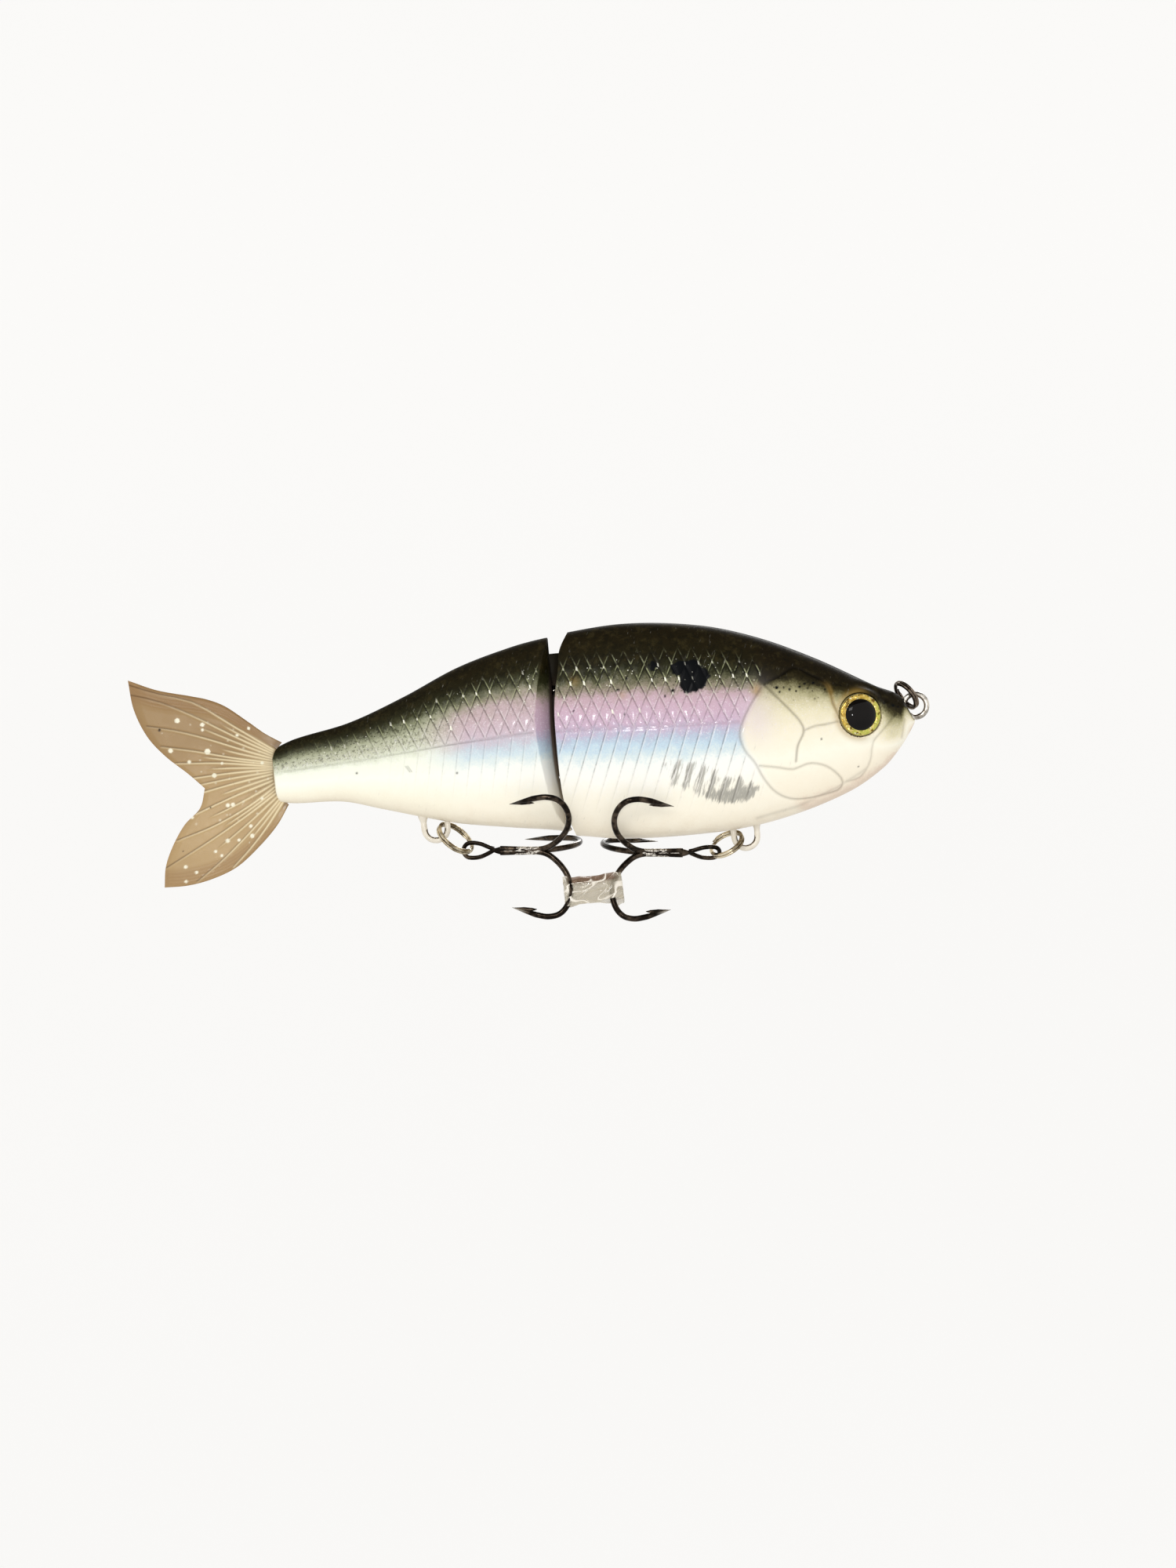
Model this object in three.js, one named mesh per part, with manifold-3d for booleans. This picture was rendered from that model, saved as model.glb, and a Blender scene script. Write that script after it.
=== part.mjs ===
// A two-section swimbait (glide bait): a hollow head section and a hollow tail
// section joined by a vertical pin, a soft tail fin, and two treble hooks on
// split rings, stored with a clear band round their lower bends.
//
// Frame, in millimetres: +X towards the nose, +Z towards the back, +Y towards
// the bait's left side. The origin is the centre of the wire line-tie loop.

import * as THREE from 'three';
import { mergeVertices } from 'three/addons/utils/BufferGeometryUtils.js';
import Module from 'manifold-3d';

const wasm = await Module();
wasm.setup();

// ---------------------------------------------------------------- dimensions

// Clearances.
const GAP = 0.3; // between neighbouring pieces
const SEAM = 0.15; // from the middle plane to each half shell
const WALL = 1.6; // thickness of the moulded half shells

// The head section's outline in side view: [x, value].
const HEAD_BACK = smooth([[-76.5, 22.9], [-60, 23.8], [-44, 21.8], [-32, 18], [-20, 12.2], [-8, 5.1],
  [-3, 2.4], [-1.4, -0.8], [-0.4, -3.2]]);
const HEAD_BELLY = smooth([[-76.5, -19.6], [-63, -21.8], [-43, -22.3], [-30, -20.8], [-16, -16.8],
  [-8, -12.4], [-4, -8.5], [-1.5, -5.2], [-0.4, -3.4]]);
const HEAD_MID = smooth([[-76.5, 2.6], [-38, 0.4], [-12, -0.9], [-4, -1.8], [-0.4, -3.3]]);
const HEAD_HALF_WIDTH = smooth([[-76.5, 8.9], [-60, 10.1], [-46, 10.5], [-32, 9.9], [-20, 8.5],
  [-8, 5.6], [-4, 3.8], [-1.4, 1.5], [-0.4, 0.25]]);
const HEAD = {
  back: HEAD_BACK, belly: HEAD_BELLY, mid: HEAD_MID, half: HEAD_HALF_WIDTH,
};

// The tail section's outline in side view: [x, value].
const TAIL = {
  back: smooth([[-137, 4.9], [-132, 6.7], [-120, 9], [-108, 13.2], [-96, 18.2], [-84, 21.4],
    [-76.3, 22.6], [-74, 22.6]]),
  belly: smooth([[-137, -6.2], [-133, -6.9], [-123, -7.6], [-115, -10], [-100, -14.5], [-88, -16.8],
    [-78, -18.5], [-74.5, -19.8]]),
  mid: smooth([[-137, -0.4], [-120, 0.6], [-95, 2.3], [-74, 2.6]]),
  half: smooth([[-137, 2.5], [-125, 3.3], [-115, 4.5], [-100, 6.6], [-90, 7.9], [-80, 8.8], [-74, 8.9]]),
};

// The joint between the sections, as x over height: [z, x].
const HEAD_RIM = smooth([[-20, -74.3], [-16.8, -75.4], [-10.4, -76.4], [0, -76.5], [8, -76.1],
  [16.2, -74.5], [19.8, -73.8], [23.3, -71.6]]);
const TAIL_RIDGE = smooth([[-19.5, -75.6], [-16.8, -77.2], [-14, -78.3], [-9.8, -79.2], [0.7, -80.2],
  [7, -79.9], [16.6, -78.2], [22.6, -76.4]]);
const TAIL_FRONT = smooth([[-19.5, -75], [-17, -75.9], [-10.4, -76.6], [-5, -77], [3, -76.9],
  [11.4, -76.4], [22, -76.2]]);
const RECESS_FLOOR_X = -71.3; // bottom of the cup in the head's rear face
const LIP = 0.86; // inner edge of the head's rim, as a share of the half width
const LIP_SLOPE = 0.7; // how far that edge lies ahead of the outer one
const BEVEL_INNER = 0.52; // inner edge of the tail's bevel, as a share of the half width

// The hinge.
const HINGE_X = -76;
const PIN_RADIUS = 0.75;
const PIN_TOP = 16;
const PIN_BOTTOM = -13.5;
const TONGUE_RADIUS = 3.2;
const TONGUE_TOP = 19;
const TONGUE_BOTTOM = -16.4;
const TONGUE_ROOT_X = -83;
const HINGE_EYE_HEIGHTS = { upper_hinge_eye: 11.2, lower_hinge_eye: -8 };
const HINGE_EYE_RADIUS = 1.5;
const HINGE_WIRE_RADIUS = 0.5;
const HINGE_SHANK_END_X = -65;

// The eyes of the fish.
const EYE_X = -11.9;
const EYE_Z = -0.7;
const EYE_RADIUS = 4.5;
const PUPIL_RADIUS = 3.15;
const EYE_DEPTH = 1.5;
const EYE_TURN = THREE.MathUtils.degToRad(14); // each eye looks this much forwards

// Wire fittings.
const LINE_TIE_RADIUS = 2.45;
const LINE_TIE_WIRE = 0.6;
const HANGER_RADIUS = 2.45;
const HANGER_WIRE = 0.65;
const HANGER_TOP = { front: -15, rear: -8.5 };
const FRONT_HANGER = new THREE.Vector3(-38.7, 0, -23.9);
const REAR_HANGER = new THREE.Vector3(-104, 0, -15.4);

// Split rings: two turns of flat wire. Each leans along a direction in the middle
// plane and is turned open by an angle from its edge-on view, in degrees.
const RING_WIRE = { radial: 0.7, axial: 0.52, pitch: 0.6 };
const TIE_RING = { radius: 3.1, centre: [-1.7, 0, 2.46], lean: 121, open: 24 };
const REAR_RING = { radius: 4.15, centre: [-100.09, 0, -17.81], lean: -44.5, open: 28 };
const FRONT_RING = { radius: 3.6, centre: [-42.9, 0, -25.06], lean: -156, open: -28 };

// Treble hooks. HOOK_PATH is one hook's wire, as [along the shank from the start
// of the bend, out from the shank], up to its point.
const TREBLE_EYE_RADIUS = 1.58;
const TREBLE_EYE_LENGTH = 4.9;
const TREBLE_EYE_WIRE = 0.47;
const TREBLE_WIRE = 0.64;
const TREBLE_SHANK_RADIUS = 0.95;
const TREBLE_BEND_START = 15.4;
const HOOK_PATH = [[-9, 0.45], [0.2, 0.5], [3.1, 2.3], [5.6, 5.5], [6.55, 9.2], [5.9, 12.4], [4.4, 14.2],
  [2.2, 14.8], [0, 14.5], [-5.8, 12.8]];
const HOOK_ANGLES = [40, 160, 280];
const SHANK_TILT = 6; // degrees, bend end downwards on the rear hook
const SHANK_YAW = 8.5; // degrees, bend end towards the right side
const TREBLE_EYE_TURN = { rear: 0, front: 42 }; // degrees round the shank

// The soft tail fin.
const FIN_PIN_X = -134.6;
const FIN_PIN_RADIUS = 0.55;
const FIN_PIN_TOP = 4;
const FIN_PIN_BOTTOM = -5.4;
const FIN_BEAD_RADIUS = 1.3;
const FIN_ROOT_X = -137.35;
const FIN_SWING = THREE.MathUtils.degToRad(18);
const FIN_ROOT_THICKNESS = 1.2;
const FIN_EDGE_THICKNESS = 0.7;

// The band round the two lower hook bends: its ends along X, its reach out from
// the shanks, the shanks' [y, z] there, and its tilt in degrees.
const BAND = {
  x0: -79.3, x1: -65, width: 4.6, wall: 0.35, near: 5.6, far: 11.8, shank: [-2.8, -23.4], tilt: 20,
};

// Ballast weights: a capsule of the given radius and length, along X.
const BALLAST = {
  head_front_ballast: { radius: 3.3, length: 14, at: [-24, 0, -10.5] },
  head_belly_ballast: { radius: 4.2, length: 22, at: [-54, 0, -14] },
  tail_ballast: { radius: 3.1, length: 14, at: [-91, 0, -9] },
};

// ------------------------------------------------------------------- helpers

/** A smooth function through hand-chosen [position, value] points. */
function smooth(points) {
  const slope = (i) => {
    const a = points[Math.max(i - 1, 0)];
    const b = points[Math.min(i + 1, points.length - 1)];
    return (b[1] - a[1]) / (b[0] - a[0]);
  };
  return (position) => {
    let i = 0;
    while (i < points.length - 2 && position > points[i + 1][0]) i += 1;
    const [[x0, y0], [x1, y1]] = [points[i], points[i + 1]];
    const span = x1 - x0;
    const t = THREE.MathUtils.clamp((position - x0) / span, 0, 1);
    const u = 1 - t;
    return y0 * u * u * (1 + 2 * t) + y1 * t * t * (3 - 2 * t)
      + span * (slope(i) * t * u * u - slope(i + 1) * t * t * u);
  };
}

/** A solid from a closed geometry. */
function solid(geometry) {
  const bare = geometry.clone();
  bare.deleteAttribute('normal');
  bare.deleteAttribute('uv');
  const merged = mergeVertices(bare, 1e-4);
  return new wasm.Manifold(new wasm.Mesh({
    numProp: 3,
    vertProperties: new Float32Array(merged.attributes.position.array),
    triVerts: new Uint32Array(merged.index.array),
  }));
}

/** A geometry from a solid. */
function geometryOf(body) {
  const mesh = body.getMesh();
  const geometry = new THREE.BufferGeometry();
  geometry.setAttribute('position', new THREE.BufferAttribute(mesh.vertProperties, 3));
  geometry.setIndex(new THREE.BufferAttribute(mesh.triVerts, 1));
  geometry.computeVertexNormals();
  return geometry;
}

/** Rings of points, one after another, skinned and closed into a geometry. */
function skin(rings, closeEnd) {
  const count = rings[0].length;
  const positions = rings.flat().flatMap((p) => [p.x, p.y, p.z]);
  const index = [];
  for (let r = 0; r < rings.length - 1; r += 1) {
    for (let i = 0; i < count; i += 1) {
      const j = (i + 1) % count;
      const [a, b] = [r * count + i, r * count + j];
      index.push(a, a + count, b, b, a + count, b + count);
    }
  }
  closeEnd(index, 0, count, false);
  closeEnd(index, (rings.length - 1) * count, count, true);
  const geometry = new THREE.BufferGeometry();
  geometry.setAttribute('position', new THREE.Float32BufferAttribute(positions, 3));
  geometry.setIndex(index);
  return geometry;
}

/** Closes a ring by joining each point to its mirror point across the middle plane. */
function zipEnd(index, start, count, last) {
  const half = count / 2;
  for (let i = 0; i < half; i += 1) {
    const [a, b] = [i, i + 1];
    const [c, d] = [count - 1 - i, (count - i) % count];
    const triangles = [];
    if (b !== c) triangles.push([a, b, c]);
    if (a !== d) triangles.push(b === c ? [a, b, d] : [a, c, d]);
    for (const [p, q, r] of triangles) {
      index.push(...(last ? [p, r, q] : [p, q, r]).map((k) => start + k));
    }
  }
}

/** Closes a convex ring as a fan from its first point. */
function fanEnd(index, start, count, last) {
  for (let i = 1; i < count - 1; i += 1) {
    const [p, q, r] = [start, start + i, start + i + 1];
    index.push(...(last ? [p, r, q] : [p, q, r]));
  }
}

/** A wire along a curve; radiusAt gives its radius from 0 at the start to 1 at the end. */
function wire(curve, steps, radiusAt, sides = 8) {
  const frames = curve.computeFrenetFrames(steps, false);
  const rings = [];
  for (let s = 0; s <= steps; s += 1) {
    const centre = curve.getPointAt(s / steps);
    const radius = radiusAt(s / steps);
    const ring = [];
    for (let i = 0; i < sides; i += 1) {
      const turn = (i / sides) * 2 * Math.PI;
      ring.push(centre.clone()
        .addScaledVector(frames.normals[s], -radius * Math.cos(turn))
        .addScaledVector(frames.binormals[s], radius * Math.sin(turn)));
    }
    rings.push(ring);
  }
  return solid(skin(rings, fanEnd));
}

/** A box between two corners. */
function box([x0, y0, z0], [x1, y1, z1]) {
  const geometry = new THREE.BoxGeometry(x1 - x0, y1 - y0, z1 - z0);
  return solid(geometry.translate((x0 + x1) / 2, (y0 + y1) / 2, (z0 + z1) / 2));
}

/** A cylinder of the given radius between two points. */
function rod(from, to, radius, sides = 12) {
  const [a, b] = [new THREE.Vector3(...from), new THREE.Vector3(...to)];
  const geometry = new THREE.CylinderGeometry(radius, radius, a.distanceTo(b), sides);
  const turn = new THREE.Quaternion()
    .setFromUnitVectors(new THREE.Vector3(0, 1, 0), b.clone().sub(a).normalize());
  geometry.applyQuaternion(turn);
  const middle = a.lerp(b, 0.5);
  return solid(geometry.translate(middle.x, middle.y, middle.z));
}

/** An outline in plan view (x, y) raised from one height to another. */
function prism(outline, bottom, top) {
  const shape = new THREE.Shape(outline.map(([x, y]) => new THREE.Vector2(x, y)));
  const geometry = new THREE.ExtrudeGeometry(shape, {
    depth: top - bottom, bevelEnabled: false, curveSegments: 12,
  });
  return solid(geometry.translate(0, 0, bottom));
}

/** A point of a section's right side: turn 0 is the back, 1 is the belly. */
function skinPoint(form, x, turn, inset = 0) {
  const angle = turn * Math.PI;
  const mid = form.mid(x);
  const rise = Math.cos(angle);
  const reach = rise > 0 ? form.back(x) - inset - mid : mid - form.belly(x) - inset;
  const z = mid + Math.sign(rise) * Math.abs(rise) ** 0.92 * reach;
  const y = -(form.half(x) - inset) * Math.sin(angle) ** 0.88;
  return new THREE.Vector3(x, y, z);
}

/** A whole ring of the skin; xAt can bend it forwards or backwards with height. */
function skinRing(form, xAt, inset = 0, points = 11) {
  const right = [];
  for (let i = 0; i <= points; i += 1) {
    const turn = i / points;
    const first = skinPoint(form, xAt(0), turn, inset);
    right.push(skinPoint(form, xAt(first.z), turn, inset));
  }
  right[0].y = 0;
  right[points].y = 0;
  const left = right.slice(1, -1).reverse().map((p) => new THREE.Vector3(p.x, -p.y, p.z));
  return [...right, ...left];
}

/** A ring drawn in towards the middle plane and placed at a new x. */
function drawIn(ring, widthShare, heightShare, mid, xAt) {
  return ring.map((p) => new THREE.Vector3(
    xAt(p.z), p.y * widthShare, mid + (p.z - mid) * heightShare,
  ));
}

/** Evenly spaced numbers from a to b. */
function spread(a, b, count) {
  return Array.from({ length: count }, (_, i) => a + ((b - a) * i) / (count - 1));
}

/** Turns a solid over to the other side of the middle plane. */
function mirrored(body) {
  return body.mirror([0, 1, 0]);
}

// ------------------------------------------------------------- head section

/** The head's outer form, with the cup for the tail's tongue in its rear face. */
function headForm() {
  const nose = [-0.4, -0.9, -1.6, -2.6, -4];
  const rings = nose.map((x) => skinRing(HEAD, () => x));
  for (const share of spread(0, 1, 14).slice(1)) {
    const bend = share * share;
    rings.push(skinRing(HEAD, (z) => {
      const straight = THREE.MathUtils.lerp(-4, -74, share);
      return straight + bend * (HEAD_RIM(z) + 74);
    }));
  }
  const rim = rings.at(-1);
  const mid = HEAD_MID(HINGE_X);
  rings.push(drawIn(rim, LIP, 0.95, mid, (z) => HEAD_RIM(z) + LIP_SLOPE));
  const floor = (z) => Math.max(RECESS_FLOOR_X, HEAD_RIM(z) + 0.2);
  rings.push(drawIn(rim, 0.42, 0.91, mid, floor));
  return solid(skin(rings, zipEnd));
}

/** The hollow inside the head. */
function headHollow() {
  const rings = spread(-5.5, -69.4, 9).map((x) => skinRing(HEAD, () => x, WALL, 9));
  return solid(skin(rings, zipEnd));
}

/** Cross ribs across the lower part of a section, later cut for the ballast they cradle. */
function cradleRibs(form, places, top) {
  const ribs = places.map((x) => {
    const faces = [x + WALL / 2, x - WALL / 2];
    return solid(skin(faces.map((at) => skinRing(form, () => at, WALL / 2, 9)), zipEnd));
  });
  const lower = box([-140, -20, -40], [0, 20, top]);
  return ribs.reduce((all, one) => all.add(one)).intersect(lower);
}

/** The bolt-like path of a wire eye lying in the plan plane, its shank along +X. */
function wireEyeCurve(radius, shankLength) {
  const points = [];
  for (let degrees = 70; degrees <= 310; degrees += 30) {
    const angle = THREE.MathUtils.degToRad(degrees);
    points.push(new THREE.Vector3(radius * Math.cos(angle), radius * Math.sin(angle), 0));
  }
  points.push(new THREE.Vector3(radius * 1.45, -radius * 0.25, 0));
  points.push(new THREE.Vector3(radius * 2.1, 0, 0));
  points.push(new THREE.Vector3(shankLength, 0, 0));
  return new THREE.CatmullRomCurve3(points);
}

function hingeEye(z) {
  const curve = wireEyeCurve(HINGE_EYE_RADIUS, HINGE_SHANK_END_X - HINGE_X);
  return wire(curve, 26, () => HINGE_WIRE_RADIUS, 6).translate([HINGE_X, 0, z]);
}

/** The line tie: a loop in the middle plane whose tail is buried in the snout. */
function lineTieCurve() {
  const points = [];
  for (let degrees = 160; degrees >= -135; degrees -= 29.5) {
    const angle = THREE.MathUtils.degToRad(degrees);
    points.push(new THREE.Vector3(
      LINE_TIE_RADIUS * Math.cos(angle), 0, LINE_TIE_RADIUS * Math.sin(angle),
    ));
  }
  points.push(new THREE.Vector3(-4.6, 0, -2.6));
  points.push(new THREE.Vector3(-12, 0, -4.6));
  return new THREE.CatmullRomCurve3(points);
}

/** A hook hanger: a U of wire with both legs running up into the body. */
function hangerCurve(centre, top) {
  const points = [new THREE.Vector3(centre.x - HANGER_RADIUS, 0, top)];
  for (let degrees = 180; degrees <= 360; degrees += 22.5) {
    const angle = THREE.MathUtils.degToRad(degrees);
    points.push(new THREE.Vector3(
      centre.x + HANGER_RADIUS * Math.cos(angle), 0, centre.z + HANGER_RADIUS * Math.sin(angle),
    ));
  }
  points.push(new THREE.Vector3(centre.x + HANGER_RADIUS, 0, top));
  return new THREE.CatmullRomCurve3(points, false, 'centripetal');
}

/** The block moulded round a hanger's legs, and the passages cut in it. */
function hangerBlock(centre, top, form) {
  const reach = HANGER_RADIUS + 2.2;
  const block = box([centre.x - reach, -2.4, centre.z - 2], [centre.x + reach, 2.4, top + 1.5]);
  return block.intersect(form);
}

function hangerPassages(centre, top) {
  const radius = HANGER_WIRE + GAP;
  const legs = [-1, 1].map((side) => {
    const x = centre.x + side * HANGER_RADIUS;
    return rod([x, 0, centre.z], [x, 0, top + GAP], radius);
  });
  return legs[0].add(legs[1]);
}

/** Places something made along +Z so that it looks out of the bait's right side at the eye. */
function atRightEye(body) {
  const surfaceY = -HEAD_HALF_WIDTH(EYE_X);
  return body.rotate([90, 0, 0])
    .rotate([0, 0, THREE.MathUtils.radToDeg(EYE_TURN)])
    .translate([EYE_X, surfaceY + 0.25, EYE_Z]);
}

/** The fish's eye: a flat-backed disc with a raised ring and a domed pupil. */
function eyeDisc() {
  const profile = [[0, -EYE_DEPTH], [EYE_RADIUS, -EYE_DEPTH], [EYE_RADIUS, 0.3], [4.1, 0.75],
    [3.5, 0.8], [PUPIL_RADIUS, 0.75], [2.6, 1.25], [1.7, 1.6], [0.8, 1.78], [0, 1.82]];
  const geometry = new THREE.LatheGeometry(profile.map(([r, y]) => new THREE.Vector2(r, y)), 22);
  return solid(geometry.rotateX(Math.PI / 2));
}

function ballast({ radius, length, at: [x, y, z] }) {
  const geometry = new THREE.CapsuleGeometry(radius, length - 2 * radius, 4, 12);
  return solid(geometry.rotateZ(Math.PI / 2).translate(x, y, z));
}

/** Room for a ballast weight. */
function ballastRoom({ radius, length, at: [x, y, z] }) {
  const half = length / 2 + 1;
  return rod([x - half, y, z], [x + half, y, z], radius + GAP, 18);
}

/** Pegs of the left half and their sockets in the right half. */
function pegs(places, radius) {
  const rods = places.map(([x, z]) => rod([x, -2, z], [x, 3.4, z], radius, 10));
  return rods.reduce((all, one) => all.add(one));
}

function pegBosses(places) {
  const rods = places.map(([x, z]) => rod([x, -12, z], [x, 12, z], 2.1, 10));
  return rods.reduce((all, one) => all.add(one));
}

const RIGHT = () => box([-200, -60, -80], [40, -SEAM, 80]);
const LEFT = () => box([-200, SEAM, -80], [40, 60, 80]);

/** Splits a whole section at the seam and gives the left half its pegs. */
function halves(whole, places) {
  const right = whole.intersect(RIGHT()).subtract(pegs(places, 0.9 + GAP));
  const left = whole.intersect(LEFT()).add(pegs(places, 0.9));
  return { right, left };
}

const HEAD_PEGS = [[-20, 5.5], [-45, 13], [-62, 16]];
const HEAD_RIBS = [-20.5, -27.5, -47, -61];

function headSection() {
  const form = headForm();
  let whole = form.subtract(headHollow());
  whole = whole.add(cradleRibs(HEAD, HEAD_RIBS, -8));
  whole = whole.add(pegBosses(HEAD_PEGS).intersect(form));
  whole = whole.add(hangerBlock(FRONT_HANGER, HANGER_TOP.front, form));
  for (const z of Object.values(HINGE_EYE_HEIGHTS)) {
    whole = whole.add(rod([RECESS_FLOOR_X + 0.8, 0, z], [HINGE_SHANK_END_X + 2, 0, z], 2.4));
    whole = whole.subtract(rod([RECESS_FLOOR_X - 2, 0, z], [HINGE_SHANK_END_X + GAP, 0, z],
      HINGE_WIRE_RADIUS + GAP, 10));
  }
  const socket = rod([0, 0, -EYE_DEPTH - GAP], [0, 0, 6], EYE_RADIUS + GAP, 20);
  const backing = rod([0, 0, -EYE_DEPTH - GAP - 1.2], [0, 0, 1], EYE_RADIUS + 1.4, 20);
  for (const turned of [(body) => body, mirrored]) {
    whole = whole.add(turned(atRightEye(backing)).intersect(form));
    whole = whole.subtract(turned(atRightEye(socket)));
  }
  whole = whole.subtract(hangerPassages(FRONT_HANGER, HANGER_TOP.front));
  whole = whole.subtract(ballastRoom(BALLAST.head_front_ballast));
  whole = whole.subtract(ballastRoom(BALLAST.head_belly_ballast));
  whole = whole.subtract(wire(lineTieCurve(), 30, () => LINE_TIE_WIRE + GAP, 6));
  return halves(whole, HEAD_PEGS);
}

// ------------------------------------------------------------- tail section

/** The tail section's outer form, with the bevel round its front face. */
function tailForm() {
  const rings = [];
  const edge = skinRing(TAIL, TAIL_RIDGE);
  const mid = TAIL.mid(HINGE_X);
  rings.push(drawIn(edge, BEVEL_INNER, 0.985, mid, TAIL_FRONT));
  rings.push(edge);
  for (const share of spread(0, 1, 12).slice(1)) {
    const bend = (1 - share) ** 2;
    rings.push(skinRing(TAIL, (z) => {
      const straight = THREE.MathUtils.lerp(-79, -136.3, share);
      return straight + bend * (TAIL_RIDGE(z) + 79);
    }));
  }
  rings.push(drawIn(rings.at(-1), 0.8, 0.92, TAIL.mid(-136.3), () => -137));
  return solid(skin(rings, zipEnd));
}

function tailHollow() {
  const rings = spread(-83.5, -126, 7).map((x) => skinRing(TAIL, () => x, WALL * 0.94, 9));
  return solid(skin(rings, zipEnd));
}

/** The tongue that carries the hinge pin, seen in plan. */
function tongueOutline(radius) {
  const outline = [];
  for (let degrees = -90; degrees <= 90; degrees += 15) {
    const angle = THREE.MathUtils.degToRad(degrees);
    outline.push([HINGE_X + radius * Math.cos(angle), radius * Math.sin(angle)]);
  }
  outline.push([TONGUE_ROOT_X, radius + 0.7]);
  outline.push([TONGUE_ROOT_X, -radius - 0.7]);
  return outline;
}

/** The room that the fin's root needs to swing in the tail's end. */
function finRoom() {
  const half = FIN_ROOT_THICKNESS / 2 + 0.15;
  const mouth = FIN_PIN_X - FIN_ROOT_X + 1;
  const spreadOut = half / Math.cos(FIN_SWING) + mouth * Math.tan(FIN_SWING);
  const wedge = prism([[FIN_PIN_X + 0.2, -half], [FIN_PIN_X + 0.2, half],
    [FIN_PIN_X - mouth, spreadOut], [FIN_PIN_X - mouth, -spreadOut]], -4.9, 3.2);
  return rod([FIN_PIN_X, 0, -4.9], [FIN_PIN_X, 0, 3.2], FIN_BEAD_RADIUS + GAP).add(wedge);
}

const TAIL_PEGS = [[-88, 12], [-105, 5], [-122, 0.5]];
const TAIL_RIBS = [-86.5, -93.5];

function tailSection() {
  const form = tailForm();
  let whole = form.add(prism(tongueOutline(TONGUE_RADIUS), TONGUE_BOTTOM, TONGUE_TOP));
  whole = whole.subtract(tailHollow());
  whole = whole.add(cradleRibs(TAIL, TAIL_RIBS, -5));
  whole = whole.add(pegBosses(TAIL_PEGS).intersect(form));
  whole = whole.add(hangerBlock(REAR_HANGER, HANGER_TOP.rear, form));
  for (const z of Object.values(HINGE_EYE_HEIGHTS)) {
    whole = whole.subtract(rod([HINGE_X, 0, z - 0.95], [HINGE_X, 0, z + 0.95], TONGUE_RADIUS + 0.4, 18));
  }
  whole = whole.subtract(rod([HINGE_X, 0, PIN_BOTTOM - GAP], [HINGE_X, 0, PIN_TOP + GAP],
    PIN_RADIUS + 0.15));
  whole = whole.subtract(hangerPassages(REAR_HANGER, HANGER_TOP.rear));
  whole = whole.subtract(ballastRoom(BALLAST.tail_ballast));
  whole = whole.subtract(finRoom());
  whole = whole.subtract(rod([FIN_PIN_X, 0, FIN_PIN_BOTTOM - GAP], [FIN_PIN_X, 0, FIN_PIN_TOP + GAP],
    FIN_PIN_RADIUS + 0.2, 12));
  return halves(whole, TAIL_PEGS);
}

// -------------------------------------------------------------------- tail fin

/** The fin blade's outline in side view, from its upper root round to its lower root. */
function finShape() {
  const shape = new THREE.Shape();
  shape.moveTo(FIN_ROOT_X, 5.2);
  shape.splineThru([[-140.7, 11.2], [-146.1, 15.9], [-152.6, 18.4], [-160, 20], [-165.9, 22.8]]
    .map(([x, z]) => new THREE.Vector2(x, z)));
  shape.splineThru([[-165.3, 16.5], [-163, 10.4], [-159.6, 5.9], [-155.2, 1.7], [-152, -1.6]]
    .map(([x, z]) => new THREE.Vector2(x, z)));
  shape.splineThru([[-153.4, -5.7], [-157.1, -9], [-160.2, -13.5], [-162, -17.5], [-162.7, -21.8]]
    .map(([x, z]) => new THREE.Vector2(x, z)));
  shape.splineThru([[-157.7, -22.1], [-152.6, -21.5], [-147.3, -19.4], [-142.8, -16.3], [FIN_ROOT_X, -6.9]]
    .map(([x, z]) => new THREE.Vector2(x, z)));
  return shape;
}

function tailFin() {
  const blade = new THREE.ExtrudeGeometry(finShape(), { depth: 1, bevelEnabled: false, curveSegments: 7 });
  blade.translate(0, 0, -0.5).rotateX(Math.PI / 2);
  const position = blade.attributes.position;
  for (let i = 0; i < position.count; i += 1) {
    const away = THREE.MathUtils.clamp((FIN_ROOT_X - position.getX(i)) / 22, 0, 1);
    position.setY(i, position.getY(i) * THREE.MathUtils.lerp(FIN_ROOT_THICKNESS, FIN_EDGE_THICKNESS, away));
  }
  const half = FIN_ROOT_THICKNESS / 2;
  const web = box([FIN_ROOT_X - 1.5, -half, -4.5], [FIN_PIN_X, half, 2.8]);
  const bead = rod([FIN_PIN_X, 0, -4.5], [FIN_PIN_X, 0, 2.8], FIN_BEAD_RADIUS);
  const bore = rod([FIN_PIN_X, 0, -6], [FIN_PIN_X, 0, 5], FIN_PIN_RADIUS + 0.15, 12);
  return solid(blade).add(web).add(bead).subtract(bore);
}

// ---------------------------------------------------------- rings and hooks

/** The directions of a split ring: out along its diameter, and across it. */
function ringAxes({ lean, open }) {
  const leanAngle = THREE.MathUtils.degToRad(lean);
  const openAngle = THREE.MathUtils.degToRad(open);
  const out = new THREE.Vector3(Math.cos(leanAngle), 0, Math.sin(leanAngle));
  const beside = new THREE.Vector3(-out.z, 0, out.x);
  const across = beside.multiplyScalar(Math.sin(openAngle));
  across.y = Math.cos(openAngle);
  return { out, across, normal: out.clone().cross(across) };
}

/** The far side of a split ring, where its hook hangs. */
function ringFarSide(ring) {
  return new THREE.Vector3(...ring.centre).addScaledVector(ringAxes(ring).out, ring.radius);
}

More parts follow.
